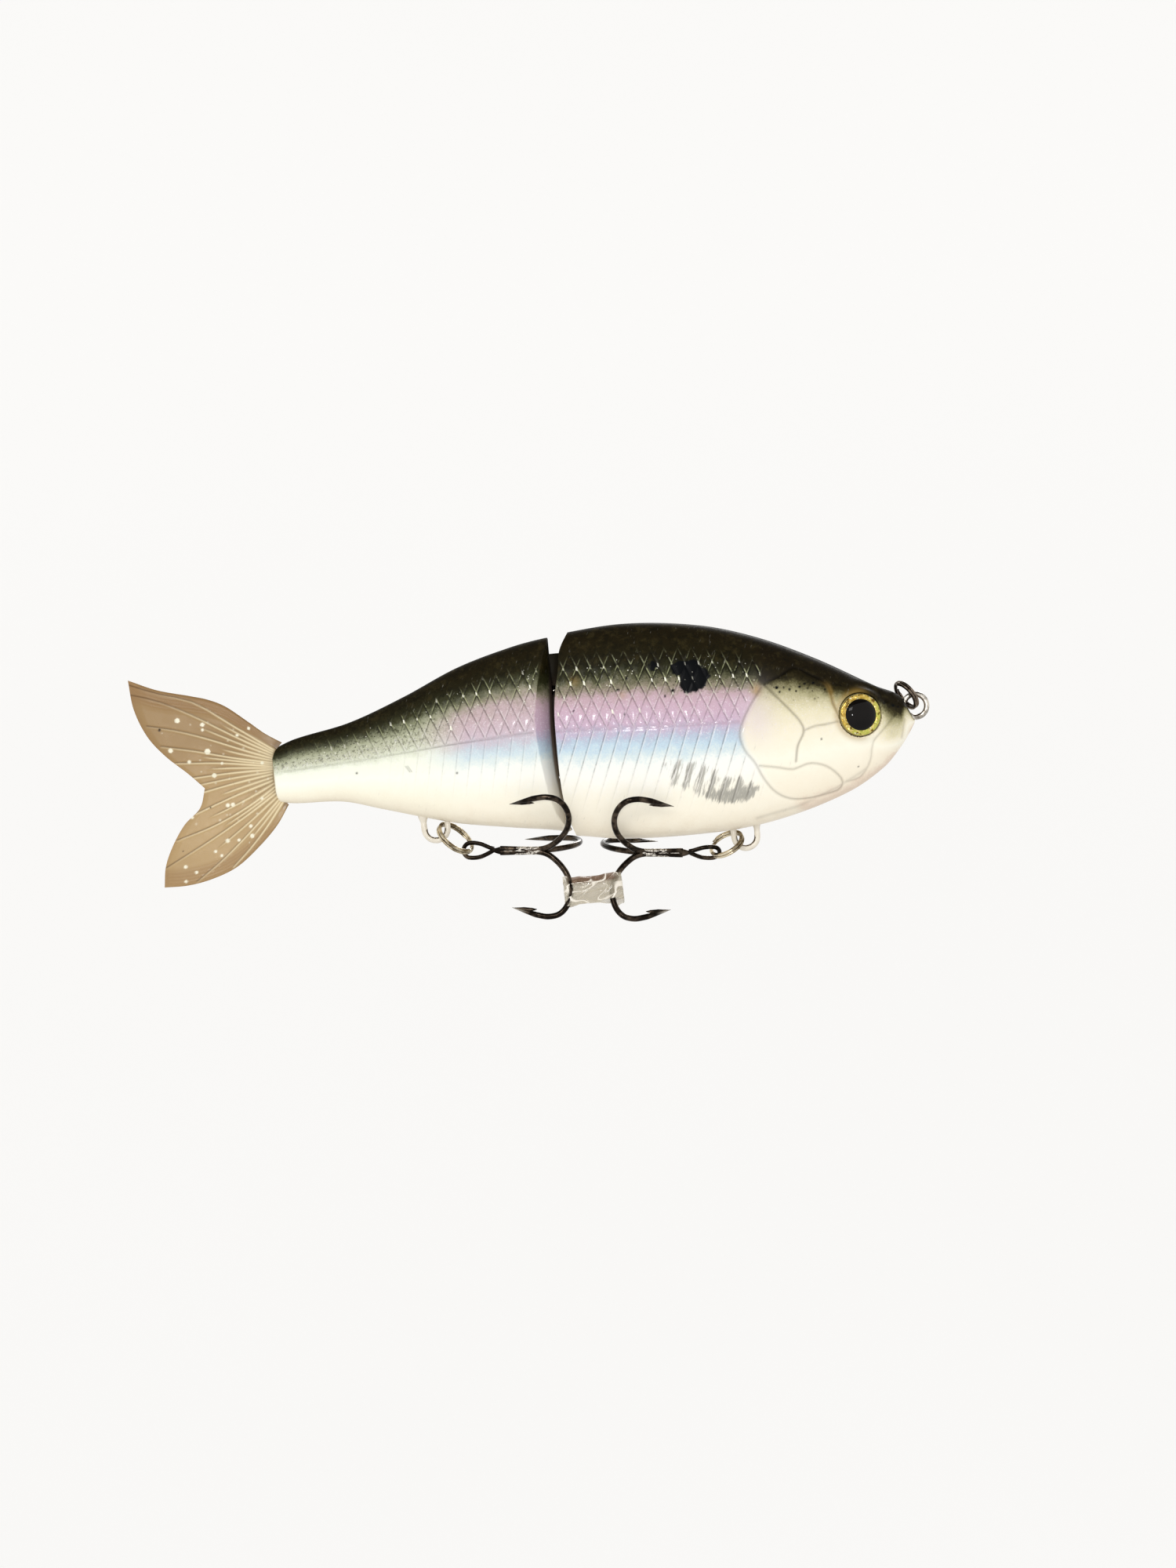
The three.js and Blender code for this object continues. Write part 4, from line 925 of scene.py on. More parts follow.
def drawn_in(ring, width, height, mid, x):
    """A ring drawn in towards the middle plane and moved to x."""
    z = mid + (ring[..., 2] - mid) * height
    return np.stack([x * np.ones_like(z), ring[..., 1] * width, z], axis=-1)


def between(first, second, count):
    """Rings from just after the first to the second."""
    return [first + (second - first) * (k + 1) / count for k in range(count)]


def add_inner_masks(masks, section, rings, inner):
    """Masks for rings that were added to a skin."""
    rings = np.asarray(rings)
    count = rings.shape[:2]
    tone = section.tone(np.clip(rings[..., 0], -136, -1), rings[..., 2])
    extra = {name: np.zeros(count) for name in masks}
    extra["tone"] = tone
    extra["inner"] = np.broadcast_to(np.asarray(inner, float)[:, None], count)
    return rings, extra


def press_eye_socket(points):
    """A flat-rimmed round socket for the eye in the right side."""
    angle = math.radians(EYE_TURN)
    outwards = np.array([math.sin(angle), -math.cos(angle), 0])
    sideways = np.array([math.cos(angle), math.sin(angle), 0])
    offset = points - EYE_CENTRE
    across, up = offset @ sideways, offset[..., 2]
    depth = offset @ outwards
    radius = np.hypot(across, up)
    rim = 0.36 * step(4.55, 4.75, radius) - 1.5 * step(4.74, 4.55, radius)
    # The rim runs out into the cheek, and sooner where the crown falls away.
    hold = step(6.6, 5.0, radius) * np.where(radius < 4.7, 1, step(-2.2, -0.9, depth))
    change = (rim - depth) * hold
    near = (np.abs(across) < 7.5) & (np.abs(up) < 7.5) & (points[..., 1] < -0.5)
    return points + outwards * np.where(near, change, 0)[..., None]


TURNS = np.linspace(0, 1, 236)


def head_half(side):
    """One half of the head section, from the nose to the bottom of the cup."""
    tip, snout, end = -0.4, -4, -74
    nose = tip - 3.6 * np.linspace(0, 1, 26) ** 1.4
    front = HEAD.rows(lambda share, z: share, nose, TURNS)

    def x_at(share, z):
        return snout + (end - snout) * share + share * share * (HEAD_RIM(z) - end)

    back = HEAD.rows(x_at, np.linspace(0, 1, 350)[1:], TURNS)
    skin = np.concatenate([front, back])
    points, masks = engraved(HEAD, skin)
    points = press_eye_socket(points)
    masks["inner"] = np.zeros(points.shape[:2])
    for name in ("strong", "weak", "ribbed"):
        masks[name][-2:] = 0

    rim, mid = skin[-1], HEAD.mid(-76.0)
    height = rim[:, 2]
    edge = drawn_in(rim, 0.985, 0.995, mid, HEAD_RIM(height) - 0.12)
    lip = drawn_in(rim, 0.86, 0.95, mid, HEAD_RIM(height) + 0.7)
    floor = drawn_in(rim, 0.42, 0.91, mid, np.maximum(-71.3, HEAD_RIM(height) + 0.2))
    closed = floor * [1, 0, 1]
    rings = [edge] + between(edge, lip, 5) + between(lip, floor, 9) + between(floor, closed, 4)
    rings, extra = add_inner_masks(masks, HEAD, rings, [0.0] + [0.25, 0.6, 0.9, 1, 1] + [1] * 13)
    points = np.concatenate([points, rings])
    masks = {name: np.concatenate([masks[name], extra[name]]) for name in masks}
    shape = Shape()
    add_half(shape, points, side, masks)
    return shape


HINGE_X = -76
TONGUE_RADIUS, WELL_RADIUS = 3.2, 3.6  # the well is what the tail leaves free for the hinge eyes
HINGE_SLOTS = [(10.25, 12.15), (-8.95, -7.05)]


def in_slot(z):
    """1 inside the slots for the hinge eyes."""
    return sum(step(low - 0.1, low + 0.1, z) * step(high + 0.1, high - 0.1, z) for low, high in HINGE_SLOTS)


def tail_half(side):
    """One half of the tail section, with its bevelled front and the room for the fin."""
    start, end = -79, -136.5

    def x_at(share, z):
        corner = np.clip(np.abs(z + 0.9) / 6.0, 0, 1)
        rounded = 1.3 * corner**9 * np.clip((share - 0.93) / 0.07, 0, 1)
        return start + (end - start) * share + (1 - share) ** 2 * (TAIL_RIDGE(z) - start) + rounded

    skin = TAIL.rows(x_at, np.linspace(0, 1, 290), TURNS)
    points, masks = engraved(TAIL, skin)
    masks["inner"] = np.zeros(points.shape[:2])
    masks["groove"][:3] *= 0.2
    for name in ("strong", "weak", "ribbed"):
        masks[name][:2] = 0

    ridge, mid = skin[0], TAIL.mid(-76.0)
    inner = drawn_in(ridge, 0.52, 0.985, mid, TAIL_FRONT(ridge[:, 2]))
    soft = drawn_in(ridge, 0.985, 0.998, mid, TAIL_RIDGE(ridge[:, 2]) + 0.14)
    bevel = [soft] + between(soft, inner, 14)
    face = []
    for ring in between(inner, inner * [1, 0, 1], 30):
        wall = HINGE_X - np.sqrt(np.maximum(0, WELL_RADIUS**2 - ring[:, 1] ** 2))
        cut = in_slot(ring[:, 2]) * (np.abs(ring[:, 1]) < WELL_RADIUS)
        x = ring[:, 0] + cut * (np.minimum(wall, ring[:, 0]) - ring[:, 0])
        face.append(np.stack([x, ring[:, 1], ring[:, 2]], axis=-1))
    front = list(reversed(bevel + face))
    shade = [1.0] * len(face) + list(step(0.27, 0.14, np.linspace(0, 1, len(bevel))))
    front, before = add_inner_masks(masks, TAIL, front, shade)

    root, root_mid = skin[-1], -0.6
    rings = between(root, drawn_in(root, 0.93, 0.975, root_mid, root[:, 0] - 0.3), 2)
    rings += between(rings[-1], drawn_in(root, 0.78, 0.9, root_mid, root[:, 0] - 0.5), 2)
    last = rings[-1]
    room = step(-5.0, -4.7, last[:, 2]) * step(3.3, 3.0, last[:, 2])
    for x, width in ((-137, 1.55), (-133.2, 1.6), (-133.2, 0)):
        y = -width * room if width else 0 * room
        ring = np.stack([last[:, 0] + room * (x - last[:, 0]), y, last[:, 2]], axis=-1)
        rings += between(rings[-1], ring, 3)
    rings, after = add_inner_masks(masks, TAIL, rings, [0] * 4 + [0.3, 0.6, 1.0] + [1] * 6)
    after["rear"] = np.ones(rings.shape[:2])

    points = np.concatenate([front, points, rings])
    masks = {name: np.concatenate([before[name], masks[name], after[name]]) for name in masks}
    shape = Shape()
    add_half(shape, points, side, masks)
    add_tongue(shape, side)
    return shape


def add_tongue(shape, side):
    """The hinge tongue: stacked blocks with the slots for the hinge eyes between them."""
    angles = np.radians(np.linspace(0, 90, 16))
    levels = [-16.4, -8.95, -7.05, 10.25, 12.15, 19.0]
    for low, high in zip(levels[::2], levels[1::2]):
        rings = []
        for inset, z in ((0.3, low), (0.0, low + 0.3), (0.0, high - 0.3), (0.3, high)):
            radius = TONGUE_RADIUS - inset
            outline = [(HINGE_X + radius * math.cos(a), -radius * math.sin(a)) for a in angles]
            outline += [(-82.8, -radius - 0.6), (-82.8, 0)]
            rings.append([(x, side * max(abs(y), SEAM), z) for x, y in outline])
        points = np.array(rings)
        tone = TAIL.tone(np.full(points.shape[:2], -78.0), points[..., 2])
        shape.add(points, capped_faces(*points.shape[:2]), tone=tone, inner=1.0)


SIDES = {"right": RIGHT, "left": LEFT}
for word, side in SIDES.items():
    head_half(side).piece(f"head_half_{word}", "head_section", [f"head_shell_{word}"], PAINT, SHELL_CREASE)
    tail_half(side).piece(f"tail_half_{word}", "tail_section", [f"tail_shell_{word}"], PAINT, SHELL_CREASE)


# --------------------------------------------------------------------- the eyes


def eye(side):
    """A moulded eye: a foil ring under the edge of a clear black dome."""
    profile = [(4.5, -1.45), (4.5, 0.2), (4.47, 0.36), (4.38, 0.5), (4.15, 0.64), (3.85, 0.7), (3.55, 0.66),
               (3.42, 0.62), (3.34, 0.72), (3.15, 0.96), (2.75, 1.24), (2.2, 1.49), (1.5, 1.69), (0.8, 1.78),
               (0.25, 1.81), (0.02, 1.815)]
    dense = spline([(r, 0, h) for r, h in profile], 110)
    count = 120
    turn = np.linspace(0, 2 * np.pi, count, endpoint=False)
    radius, height = dense[:, 0][:, None], dense[:, 2][:, None]
    foil = step(3.45, 3.6, radius) * step(4.42, 4.25, radius)
    across, up = radius * np.cos(turn), radius * np.sin(turn)
    spots = np.stack([across * 1.9, up * 1.9, 0 * across], axis=-1).reshape(-1, 3)
    dents = value_noise(spots, 9).reshape(len(dense), count)
    local = np.stack([across, up, height + 0.09 * foil * dents], axis=-1)
    placed = turned(turned(local, 90, "x"), EYE_TURN, "z")
    placed = placed + EYE_CENTRE
    placed[..., 1] *= -side
    shape = Shape()
    shape.add(placed, capped_faces(len(dense), count), radius=np.broadcast_to(radius, (len(dense), count)))
    return shape


for word, side in SIDES.items():
    eye(side).piece(f"fish_eye_{word}", "head_section", [f"eye_{word}"], EYE, FITTING_CREASE)


# ------------------------------------------------------- wire fittings and rings


def arc(centre, radius, first, last, count):
    """Points of an arc in the middle plane, in degrees from +X towards +Z."""
    angles = np.radians(np.linspace(first, last, count))
    return np.stack([centre[0] + radius * np.cos(angles), 0 * angles,
                     centre[1] + radius * np.sin(angles)], axis=-1)


LOOP_RADIUS = 2.45  # of the line tie and the hangers


def line_tie():
    """The wire loop at the nose and its buried tail."""
    path = list(arc((0, 0), LOOP_RADIUS, 160, -135, 11)) + [(-4.6, 0, -2.6), (-12, 0, -4.6)]
    shape = Shape()
    shape.add(*tube(spline(path, 170), 0.6, 24))
    return shape


def hanger(x, z, top):
    """A U of painted wire, flared with paint where it enters the body."""
    bend = list(arc((x, z), LOOP_RADIUS, 180, 360, 9))
    path = [(x - LOOP_RADIUS, 0, top)] + bend + [(x + LOOP_RADIUS, 0, top)]
    path = spline(path, 190)
    entry = z + 2.6
    flare = 0.65 + 0.42 * step(entry - 1.3, entry + 0.5, path[:, 2])
    lumps = 1 + 0.035 * value_noise(path * 1.3, 2)
    rings, faces = tube(path, flare * lumps, 24)
    from_centre = np.hypot(rings[..., 0] - x, rings[..., 2] - z)
    shape = Shape()
    shape.add(rings, faces, rubbed=0.75 * step(2.5, 1.9, from_centre) * step(z + 1.5, z - 0.5, rings[..., 2]))
    return shape


def hinge_eye(z):
    """A wire eye lying round the hinge pin, its shank running into the head."""
    path = list(arc((0, 0), 1.5, 70, 310, 9)[:, [0, 2, 1]])
    path += [(2.18, -0.38, 0), (3.15, 0, 0), (11, 0, 0)]
    shape = Shape()
    shape.add(*tube(spline(path, 120) + [HINGE_X, 0, z], 0.5, 20))
    return shape


RINGS = {
    "line_tie_ring": dict(radius=3.1, centre=(-1.7, 0, 2.46), lean=121, open=24),
    "rear_split_ring": dict(radius=4.15, centre=(-100.09, 0, -17.81), lean=-44.5, open=28),
    "front_split_ring": dict(radius=3.6, centre=(-42.9, 0, -25.06), lean=-156, open=-28),
}


def ring_axes(ring):
    """Directions of a ring: out along its diameter, across it and along its axis."""
    lean, opened = math.radians(ring["lean"]), math.radians(ring["open"])
    out = np.array([math.cos(lean), 0, math.sin(lean)])
    across = np.array([-out[2], 0, out[0]]) * math.sin(opened) + [0, math.cos(opened), 0]
    return out, across, np.cross(out, across)


def far_side(ring):
    return np.array(ring["centre"]) + ring_axes(ring)[0] * ring["radius"]


def split_ring(ring):
    """Two turns of flattened wire, rounded at the edges and cut at the ends."""
    out, across, normal = ring_axes(ring)
    share = np.linspace(0, 1, 230)[:, None]
    turns = 1.86
    angle = share * turns * 2 * np.pi + 0.9
    # A round-cornered bar, its ends ground down.
    turn = np.linspace(0, 2 * np.pi, 20, endpoint=False)[None]
    corner = lambda value: np.sign(value) * np.abs(value) ** 0.62
    taper = np.clip(np.minimum(share, 1 - share) * 30, 0.45, 1)
    radial = ring["radius"] + 0.4 * corner(np.cos(turn)) * taper
    lift = (share - 0.5) * turns * 0.6 + 0.27 * corner(np.sin(turn)) * taper
    direction = out * np.cos(angle)[..., None] + across * np.sin(angle)[..., None]
    points = np.array(ring["centre"]) + direction * radial[..., None] + normal * lift[..., None]
    shape = Shape()
    shape.add(points, capped_faces(*points.shape[:2]))
    return shape


for name, body, node, finish, wire in (
    ("nose_line_tie", "head_section", "line_tie_eye", BRIGHT, line_tie()),
    ("front_hanger_loop", "head_section", "front_hook_hanger", WHITE_WIRE, hanger(-38.7, -23.9, -15)),
    ("rear_hanger_loop", "tail_section", "rear_hook_hanger", WHITE_WIRE, hanger(-104, -15.4, -8.5)),
    ("hinge_eye_upper", "head_section", "upper_hinge_eye", BRIGHT, hinge_eye(11.2)),
    ("hinge_eye_lower", "head_section", "lower_hinge_eye", BRIGHT, hinge_eye(-8)),
):
    wire.piece(name, body, [node], finish, FITTING_CREASE)
for name, body, node, finish in (
    ("nose_split_ring", "line_ring", "line_tie_ring", SMOKED),
    ("rear_coil_ring", "rear_ring", "rear_split_ring", GOLDEN),
    ("front_coil_ring", "front_ring", "front_split_ring", GOLDEN),
):
    split_ring(RINGS[node]).piece(name, body, [node], finish, SOFT_CREASE)


# -------------------------------------------------------------------- the hooks

BEND_START = 15.4
HOOK_PATH = [(-9, 0.45), (0.2, 0.5), (3.1, 2.3), (5.6, 5.5), (6.55, 9.2), (5.9, 12.4), (4.4, 14.2),
             (2.2, 14.8), (0, 14.5), (-5.8, 12.8)]
HOOK_ANGLES = [40, 160, 280]
SHANK_TILT, SHANK_YAW = 6, 8.5


def treble(eye_turn):
    """Three brazed hooks along +X with the eye at the origin, as (points, faces, masks)."""
    parts = []
    loop = [(6.1, 0, 0), (4.9, 0, 0), (4.3, 0, -0.35), (2, 0, -1.4)]
    loop += list(arc((0, 0), 1.58, 270, 90, 7)) + [(2, 0, 1.4), (4.2, 0, 0.55), (5.0, 0, 0.35)]
    rings, faces = tube(spline(loop, 150), 0.47, 20)
    parts.append((turned(rings, eye_turn, "x"), faces, 0.0, 0.0))

    # The shank: three wires side by side under braze.
    rows, sides = 90, 48
    along = np.linspace(4.5, BEND_START + 1.2, rows)[:, None]
    turn = np.linspace(0, 2 * np.pi, sides, endpoint=False)[None]
    lobes = 0.1 * np.cos(3 * (turn - math.radians(HOOK_ANGLES[0])))
    lumps = value_noise(np.stack([along * 1.5 + 0 * turn, 2 * np.cos(turn) + 0 * along,
                                  2 * np.sin(turn) + 0 * along], -1).reshape(-1, 3), 4)
    radius = 0.84 + lobes + 0.05 * lumps.reshape(rows, sides)
    slimmer = 1 - 0.5 * step(BEND_START - 0.2, BEND_START + 1.2, along)
    radius = radius * step(3.6, 6.9, along) ** 0.8 * slimmer
    shank = np.stack([along + 0 * turn, -radius * np.sin(turn), radius * np.cos(turn)], axis=-1)
    brazed = step(6.0, 7.6, along) * step(BEND_START + 0.8, BEND_START - 0.6, along) + 0 * turn
    parts.append((shank, capped_faces(*shank.shape[:2]), 0.8 * brazed, 0.0))

    for degrees in HOOK_ANGLES:
        angle = math.radians(degrees)
        place = lambda a, o: np.stack([BEND_START + a, -o * math.sin(angle), o * math.cos(angle)], -1)
        path = spline([place(a, o) for a, o in HOOK_PATH], 260)
        share = np.linspace(0, 1, len(path))
        # The point swells a little at the barb, then runs out to a needle.
        radius = 0.63 * np.clip(0.05 + (1 - share) * 6.6, 0, 1) ** 0.9
        worn = (0.1 if degrees == HOOK_ANGLES[0] else 0.65) * step(0.9, 0.97, share)
        rings, faces = tube(path, radius, 20)
        parts.append((rings, faces, 0.0, np.broadcast_to(worn[:, None], rings.shape[:2])))
        barb = spline([place(-5.5, 12.86), place(-3.2, 13.12), place(-0.9, 13.22), place(-0.4, 13.16)], 40)
        share = np.linspace(0, 1, len(barb))
        width = 0.46 * np.interp(share, (0, 0.45, 0.8, 0.95, 1), (0.1, 0.95, 0.8, 0.3, 0.05))
        away = np.array([0.0, -math.sin(angle), math.cos(angle)])
        rings, faces = tube(barb, width, 16, 0.6, side=away)
        parts.append((rings, faces, 0.0, 0.0))
    return parts


def hook_piece(name, body, nodes, ring, eye_turn, mirrored):
    shape = Shape()
    for points, faces, braze, worn in treble(eye_turn):
        points = turned(points, -SHANK_YAW, "z")
        if mirrored:
            points = points * [-1, 1, 1]
        points = turned(points, SHANK_TILT, "y") + far_side(RINGS[ring])
        shape.add(points, faces, braze=braze, worn=worn)
    shape.piece(name, body, nodes, HOOK, SOFT_CREASE)


hook_piece("rear_treble", "rear_treble", ["rear_treble_hook"], "rear_split_ring", 0, False)
hook_piece("front_treble", "front_treble", ["front_treble_hook"], "front_split_ring", 42, True)


# --------------------------------------------------------------------- the fin

FIN_UPPER = [(-134.7, 6.3), (-138.0, 8.5), (-141.0, 11.1), (-146.1, 15.3), (-149.5, 17.0), (-153.0, 18.1),
             (-160.0, 20.1), (-165.9, 22.8)]
FIN_LOWER = [(-134.6, -7.0), (-137.4, -11.0), (-141.6, -15.1), (-147.0, -19.1), (-152.6, -21.1),
             (-157.7, -21.9), (-162.7, -21.8)]
FIN_ROOT = [(-134.7, 6.3), (-135.5, 5.4), (-136.1, 4.4), (-136.5, 3.0), (-136.7, 0.0), (-136.5, -3.5),
            (-136.1, -5.0), (-135.4, -6.0), (-134.6, -7.0)]
FIN_TRAILING = [(-165.9, 22.8), (-165.3, 16.5), (-163, 10.4), (-159.6, 5.9), (-155.2, 1.7), (-152.0, -1.7),
                (-153.4, -5.7), (-157.1, -9), (-160.2, -13.5), (-162, -17.5), (-162.7, -21.8)]
FIN_RAYS = [
    [(-165.9, 21.6), (-160.2, 19.2), (-152.6, 16.6), (-144.6, 10.8), (-136.6, 4.9)],
    [(-165.6, 19.4), (-160.3, 17.6), (-153.1, 13.9), (-144.1, 8.3), (-136.9, 4.1)],
    [(-162.9, 12.5), (-156.6, 10.9), (-150.5, 8.7), (-142.5, 5.3), (-137.0, 3.1)],
    [(-160.3, 7.9), (-153.3, 6.3), (-144.6, 3.9), (-137.1, 2.2)],
    [(-157.6, 4.1), (-147.8, 3.2), (-137.2, 1.4)],
    [(-154.8, 0.6), (-146.2, 0.9), (-137.3, 0.8)],
    [(-152.6, -2.6), (-145.8, -1.4), (-137.4, -0.2)],
    [(-154.4, -7.0), (-145.4, -3.9), (-137.5, -1.6)],
    [(-159.0, -12.3), (-150.5, -9.8), (-142.5, -6.2), (-137.0, -2.9)],
    [(-161.9, -17.9), (-152.8, -13.4), (-144.0, -8.6), (-136.8, -4.2)],
    [(-155.6, -21.4), (-150.0, -17.5), (-143.1, -11.8), (-136.3, -5.5)],
    [(-147.6, -19.0), (-143.8, -15.6), (-140.0, -11.6), (-135.8, -6.4)],
]


def side_curve(points, count):
    """A smooth side-view curve, as (n, 2)."""
    return spline([(x, 0, z) for x, z in points], count)[:, [0, 2]]


def fin_grid(rows, columns):
    """Side-view points from the root (row 0) to the trailing edge, upper edge first."""
    v = np.linspace(0, 1, rows)[:, None, None]
    t = np.linspace(0, 1, columns)[None, :, None]
    upper, lower = side_curve(FIN_UPPER, rows)[:, None], side_curve(FIN_LOWER, rows)[:, None]
    notch = 5  # the trailing edge's deepest point, kept sharp
    halves = side_curve(FIN_TRAILING[: notch + 1], 400), side_curve(FIN_TRAILING[notch:], 400)[1:]
    trailing = np.vstack(halves)
    pick = np.linspace(0, len(trailing) - 1, columns)
    edge = np.stack([np.interp(pick, np.arange(len(trailing)), trailing[:, k]) for k in (0, 1)], -1)[None]
    root = side_curve(FIN_ROOT, columns)[None]
    straight = root * (1 - v) + edge * v
    bow_up = upper - (upper[:1] * (1 - v) + upper[-1:] * v)
    bow_down = lower - (lower[:1] * (1 - v) + lower[-1:] * v)
    return straight + bow_up * (1 - t) ** 2.2 + bow_down * t**2.2


def fin_rays(side_view):
    """Masks of the raised rays, also used for their painted highlight, and of the painted shade beside them,
    0 to 1.
    """
    x, z = side_view[..., 0], side_view[..., 1]
    out = np.hypot(x + 136.5, 0.8 * (z + 0.6))
    curves = [(side_curve(ray, 40), 60, 1.0) for ray in FIN_RAYS]
    for k, (first, second) in enumerate(zip(FIN_RAYS[:-1], FIN_RAYS[1:])):
        a, b = side_curve(first, 40), side_curve(second, 40)
        curves.append(((a + b) / 2, (15, 19, 13, 17)[k % 4], 0.9))
    bright, dark = np.zeros_like(x), np.zeros_like(x)
    for curve, reach, strength in curves:
        line = curve[::4].tolist() + [curve[-1].tolist()]
        away = distance_to_line(x, z, line)
        fade = strength * step(reach, 0.75 * reach, out)
        wide = 0.2 + 0.1 * step(12, 3, out)
        bright = np.maximum(bright, fade * np.exp(-((away / wide) ** 2)) * step(34, 7, out))
        beside = distance_to_line(x, z, [(a, b + 0.25) for a, b in line])
        dark = np.maximum(dark, fade * hill(beside, 0, 0.15) * (0.75 + 0.25 * step(6, 16, out)))
    # Painted shade in scallops where the rays enter the tail.
    root = distance_to_line(x, z, FIN_ROOT)
    near_root = 0.55 * step(9, 2, out) + 0.45 * step(1.6, 0.5, root)
    dark = np.maximum(dark * (1 - 0.6 * bright), near_root * (1 - 0.95 * bright))
    return bright, dark


def tail_fin():
    """The soft fin: two ribbed faces, a web into the tail, flakes in the plastic."""
    rows, columns = 116, 400
    side_view = fin_grid(rows, columns)
    bright, dark = fin_rays(side_view)
    v = np.linspace(0, 1, rows)[:, None]
    t = np.linspace(0, 1, columns)[None]
    from_edge = np.minimum.reduce([1 - v + 0 * t, 6 * t + 0 * v, 6 * (1 - t) + 0 * v])
    thin = np.sqrt(np.clip(from_edge / 0.06, 0.05, 1))
    half = (0.36 - 0.14 * v) * thin + (0.2 * bright - 0.05 * dark) * step(0.0, 0.1, from_edge)
    # The leading edges are thicker bands, finely ridged along their length.
    lead = np.maximum(step(0.1, 0.05, t), step(0.9, 0.95, t)) * step(0.05, 0.25, v)
    ridged = lead * (0.5 + 0.5 * np.cos(np.minimum(t, 1 - t) * 420)) + 0 * v
    half = half + (0.1 * lead + 0.03 * ridged) * step(0.0, 0.12, from_edge)
    edge = np.clip(0.7 * lead + 0.3 * ridged + 0.5 * step(0.04, 0.0, from_edge), 0, 1)
    flake, speck = fin_flecks(side_view)
    size = rows * columns
    points = [np.stack([side_view[..., 0], side * half, side_view[..., 1]], -1).reshape(-1, 3)
              for side in (RIGHT, LEFT)]
    quads = grid_faces(rows, columns)
    faces = quads + [[k + size for k in face] for face in quads]
    border = list(range(columns))
    border += [r * columns + columns - 1 for r in range(1, rows)]
    border += [(rows - 1) * columns + c for c in range(columns - 2, -1, -1)]
    border += [r * columns for r in range(rows - 2, 0, -1)]
    for a, b in zip(border, border[1:] + border[:1]):
        faces.append([a, b, b + size, a + size])
    shape = Shape()
    shape.add(np.vstack(points), faces, ray=doubled(bright), valley=doubled(dark), edge=doubled(edge),
              flake=doubled(flake), speck=doubled(speck))
    # The web that runs into the tail section.
    ring = [(-0.5, -4.4), (0.5, -4.4), (0.55, -3.9), (0.55, 2.3), (0.5, 2.7), (-0.5, 2.7), (-0.55, 2.3),
            (-0.55, -3.9)]
    stations = ((-138.0, 0.3), (-136.7, 1), (-134.2, 1))
    web = np.array([[(x, wide * y, z) for y, z in ring] for x, wide in stations])
    shape.add(web, capped_faces(*web.shape[:2]), ray=0.2)
    return shape


FLAKES = [(-156.3, 13.2, 0.5), (-151.1, 11.8, 0.42), (-151.2, 10.7, 0.3), (-158.4, 7.0, 0.46),
          (-150.6, 6.0, 0.58), (-149.7, 0.8, 0.46), (-154.7, 4.2, 0.36), (-141.4, 10.0, 0.3),
          (-144.0, 8.8, 0.28), (-146.4, -5.8, 0.42), (-147.5, -5.8, 0.4),
          (-143.1, -10.7, 0.34), (-143.0, -12.8, 0.44), (-148.3, -13.3, 0.42),
          (-145.9, -13.4, 0.3), (-149.9, -16.3, 0.3), (-151.1, -15.3, 0.3), (-140.1, -5.1, 0.3),
          (-155.3, -7.6, 0.3), (-157.8, -17.9, 0.36), (-155.6, -19.3, 0.32), (-158.0, -21.0, 0.3),
          (-139.3, 2.4, 0.34), (-147.8, 3.2, 0.28)]


def fin_flecks(side_view):
    """Glitter flakes and dark specks over the fin's grid, 0 to 1."""
    rng = np.random.default_rng(8)
    x, z = side_view[..., 0], side_view[..., 1]
    rows, columns = x.shape
    flakes = [(fx, fz, size, 1.0) for fx, fz, size in FLAKES]
    for _ in range(34):
        r, c = int(rng.uniform(0.12, 0.93) * rows), int(rng.uniform(0.06, 0.94) * columns)
        flakes.append((x[r, c], z[r, c], rng.uniform(0.12, 0.26), rng.uniform(0.25, 0.5)))
    flake, speck = np.zeros_like(x), np.zeros_like(x)
    for fx, fz, size, shine in flakes:
        turn = rng.uniform(0, np.pi)
        a = np.abs((x - fx) * math.cos(turn) + (z - fz) * math.sin(turn))
        b = np.abs((z - fz) * math.cos(turn) - (x - fx) * math.sin(turn))
        hexagon = np.maximum(a, 0.5 * a + 0.87 * b)
        flake = np.maximum(flake, shine * step(size + 0.1, size - 0.1, hexagon))
    for fx, fz, size in ((-160.3, 11.6, 0.32), (-151.2, -5.9, 0.18), (-158.0, -14.5, 0.14)):
        away = np.hypot((x - fx) * 1.4, z - fz)
        speck = np.maximum(speck, step(size + 0.1, size - 0.05, away))
    return flake, speck


tail_fin().piece("soft_tail_fin", "fin", ["tail_fin"], FIN, SOFT_CREASE)


# -------------------------------------------------------------------- the band


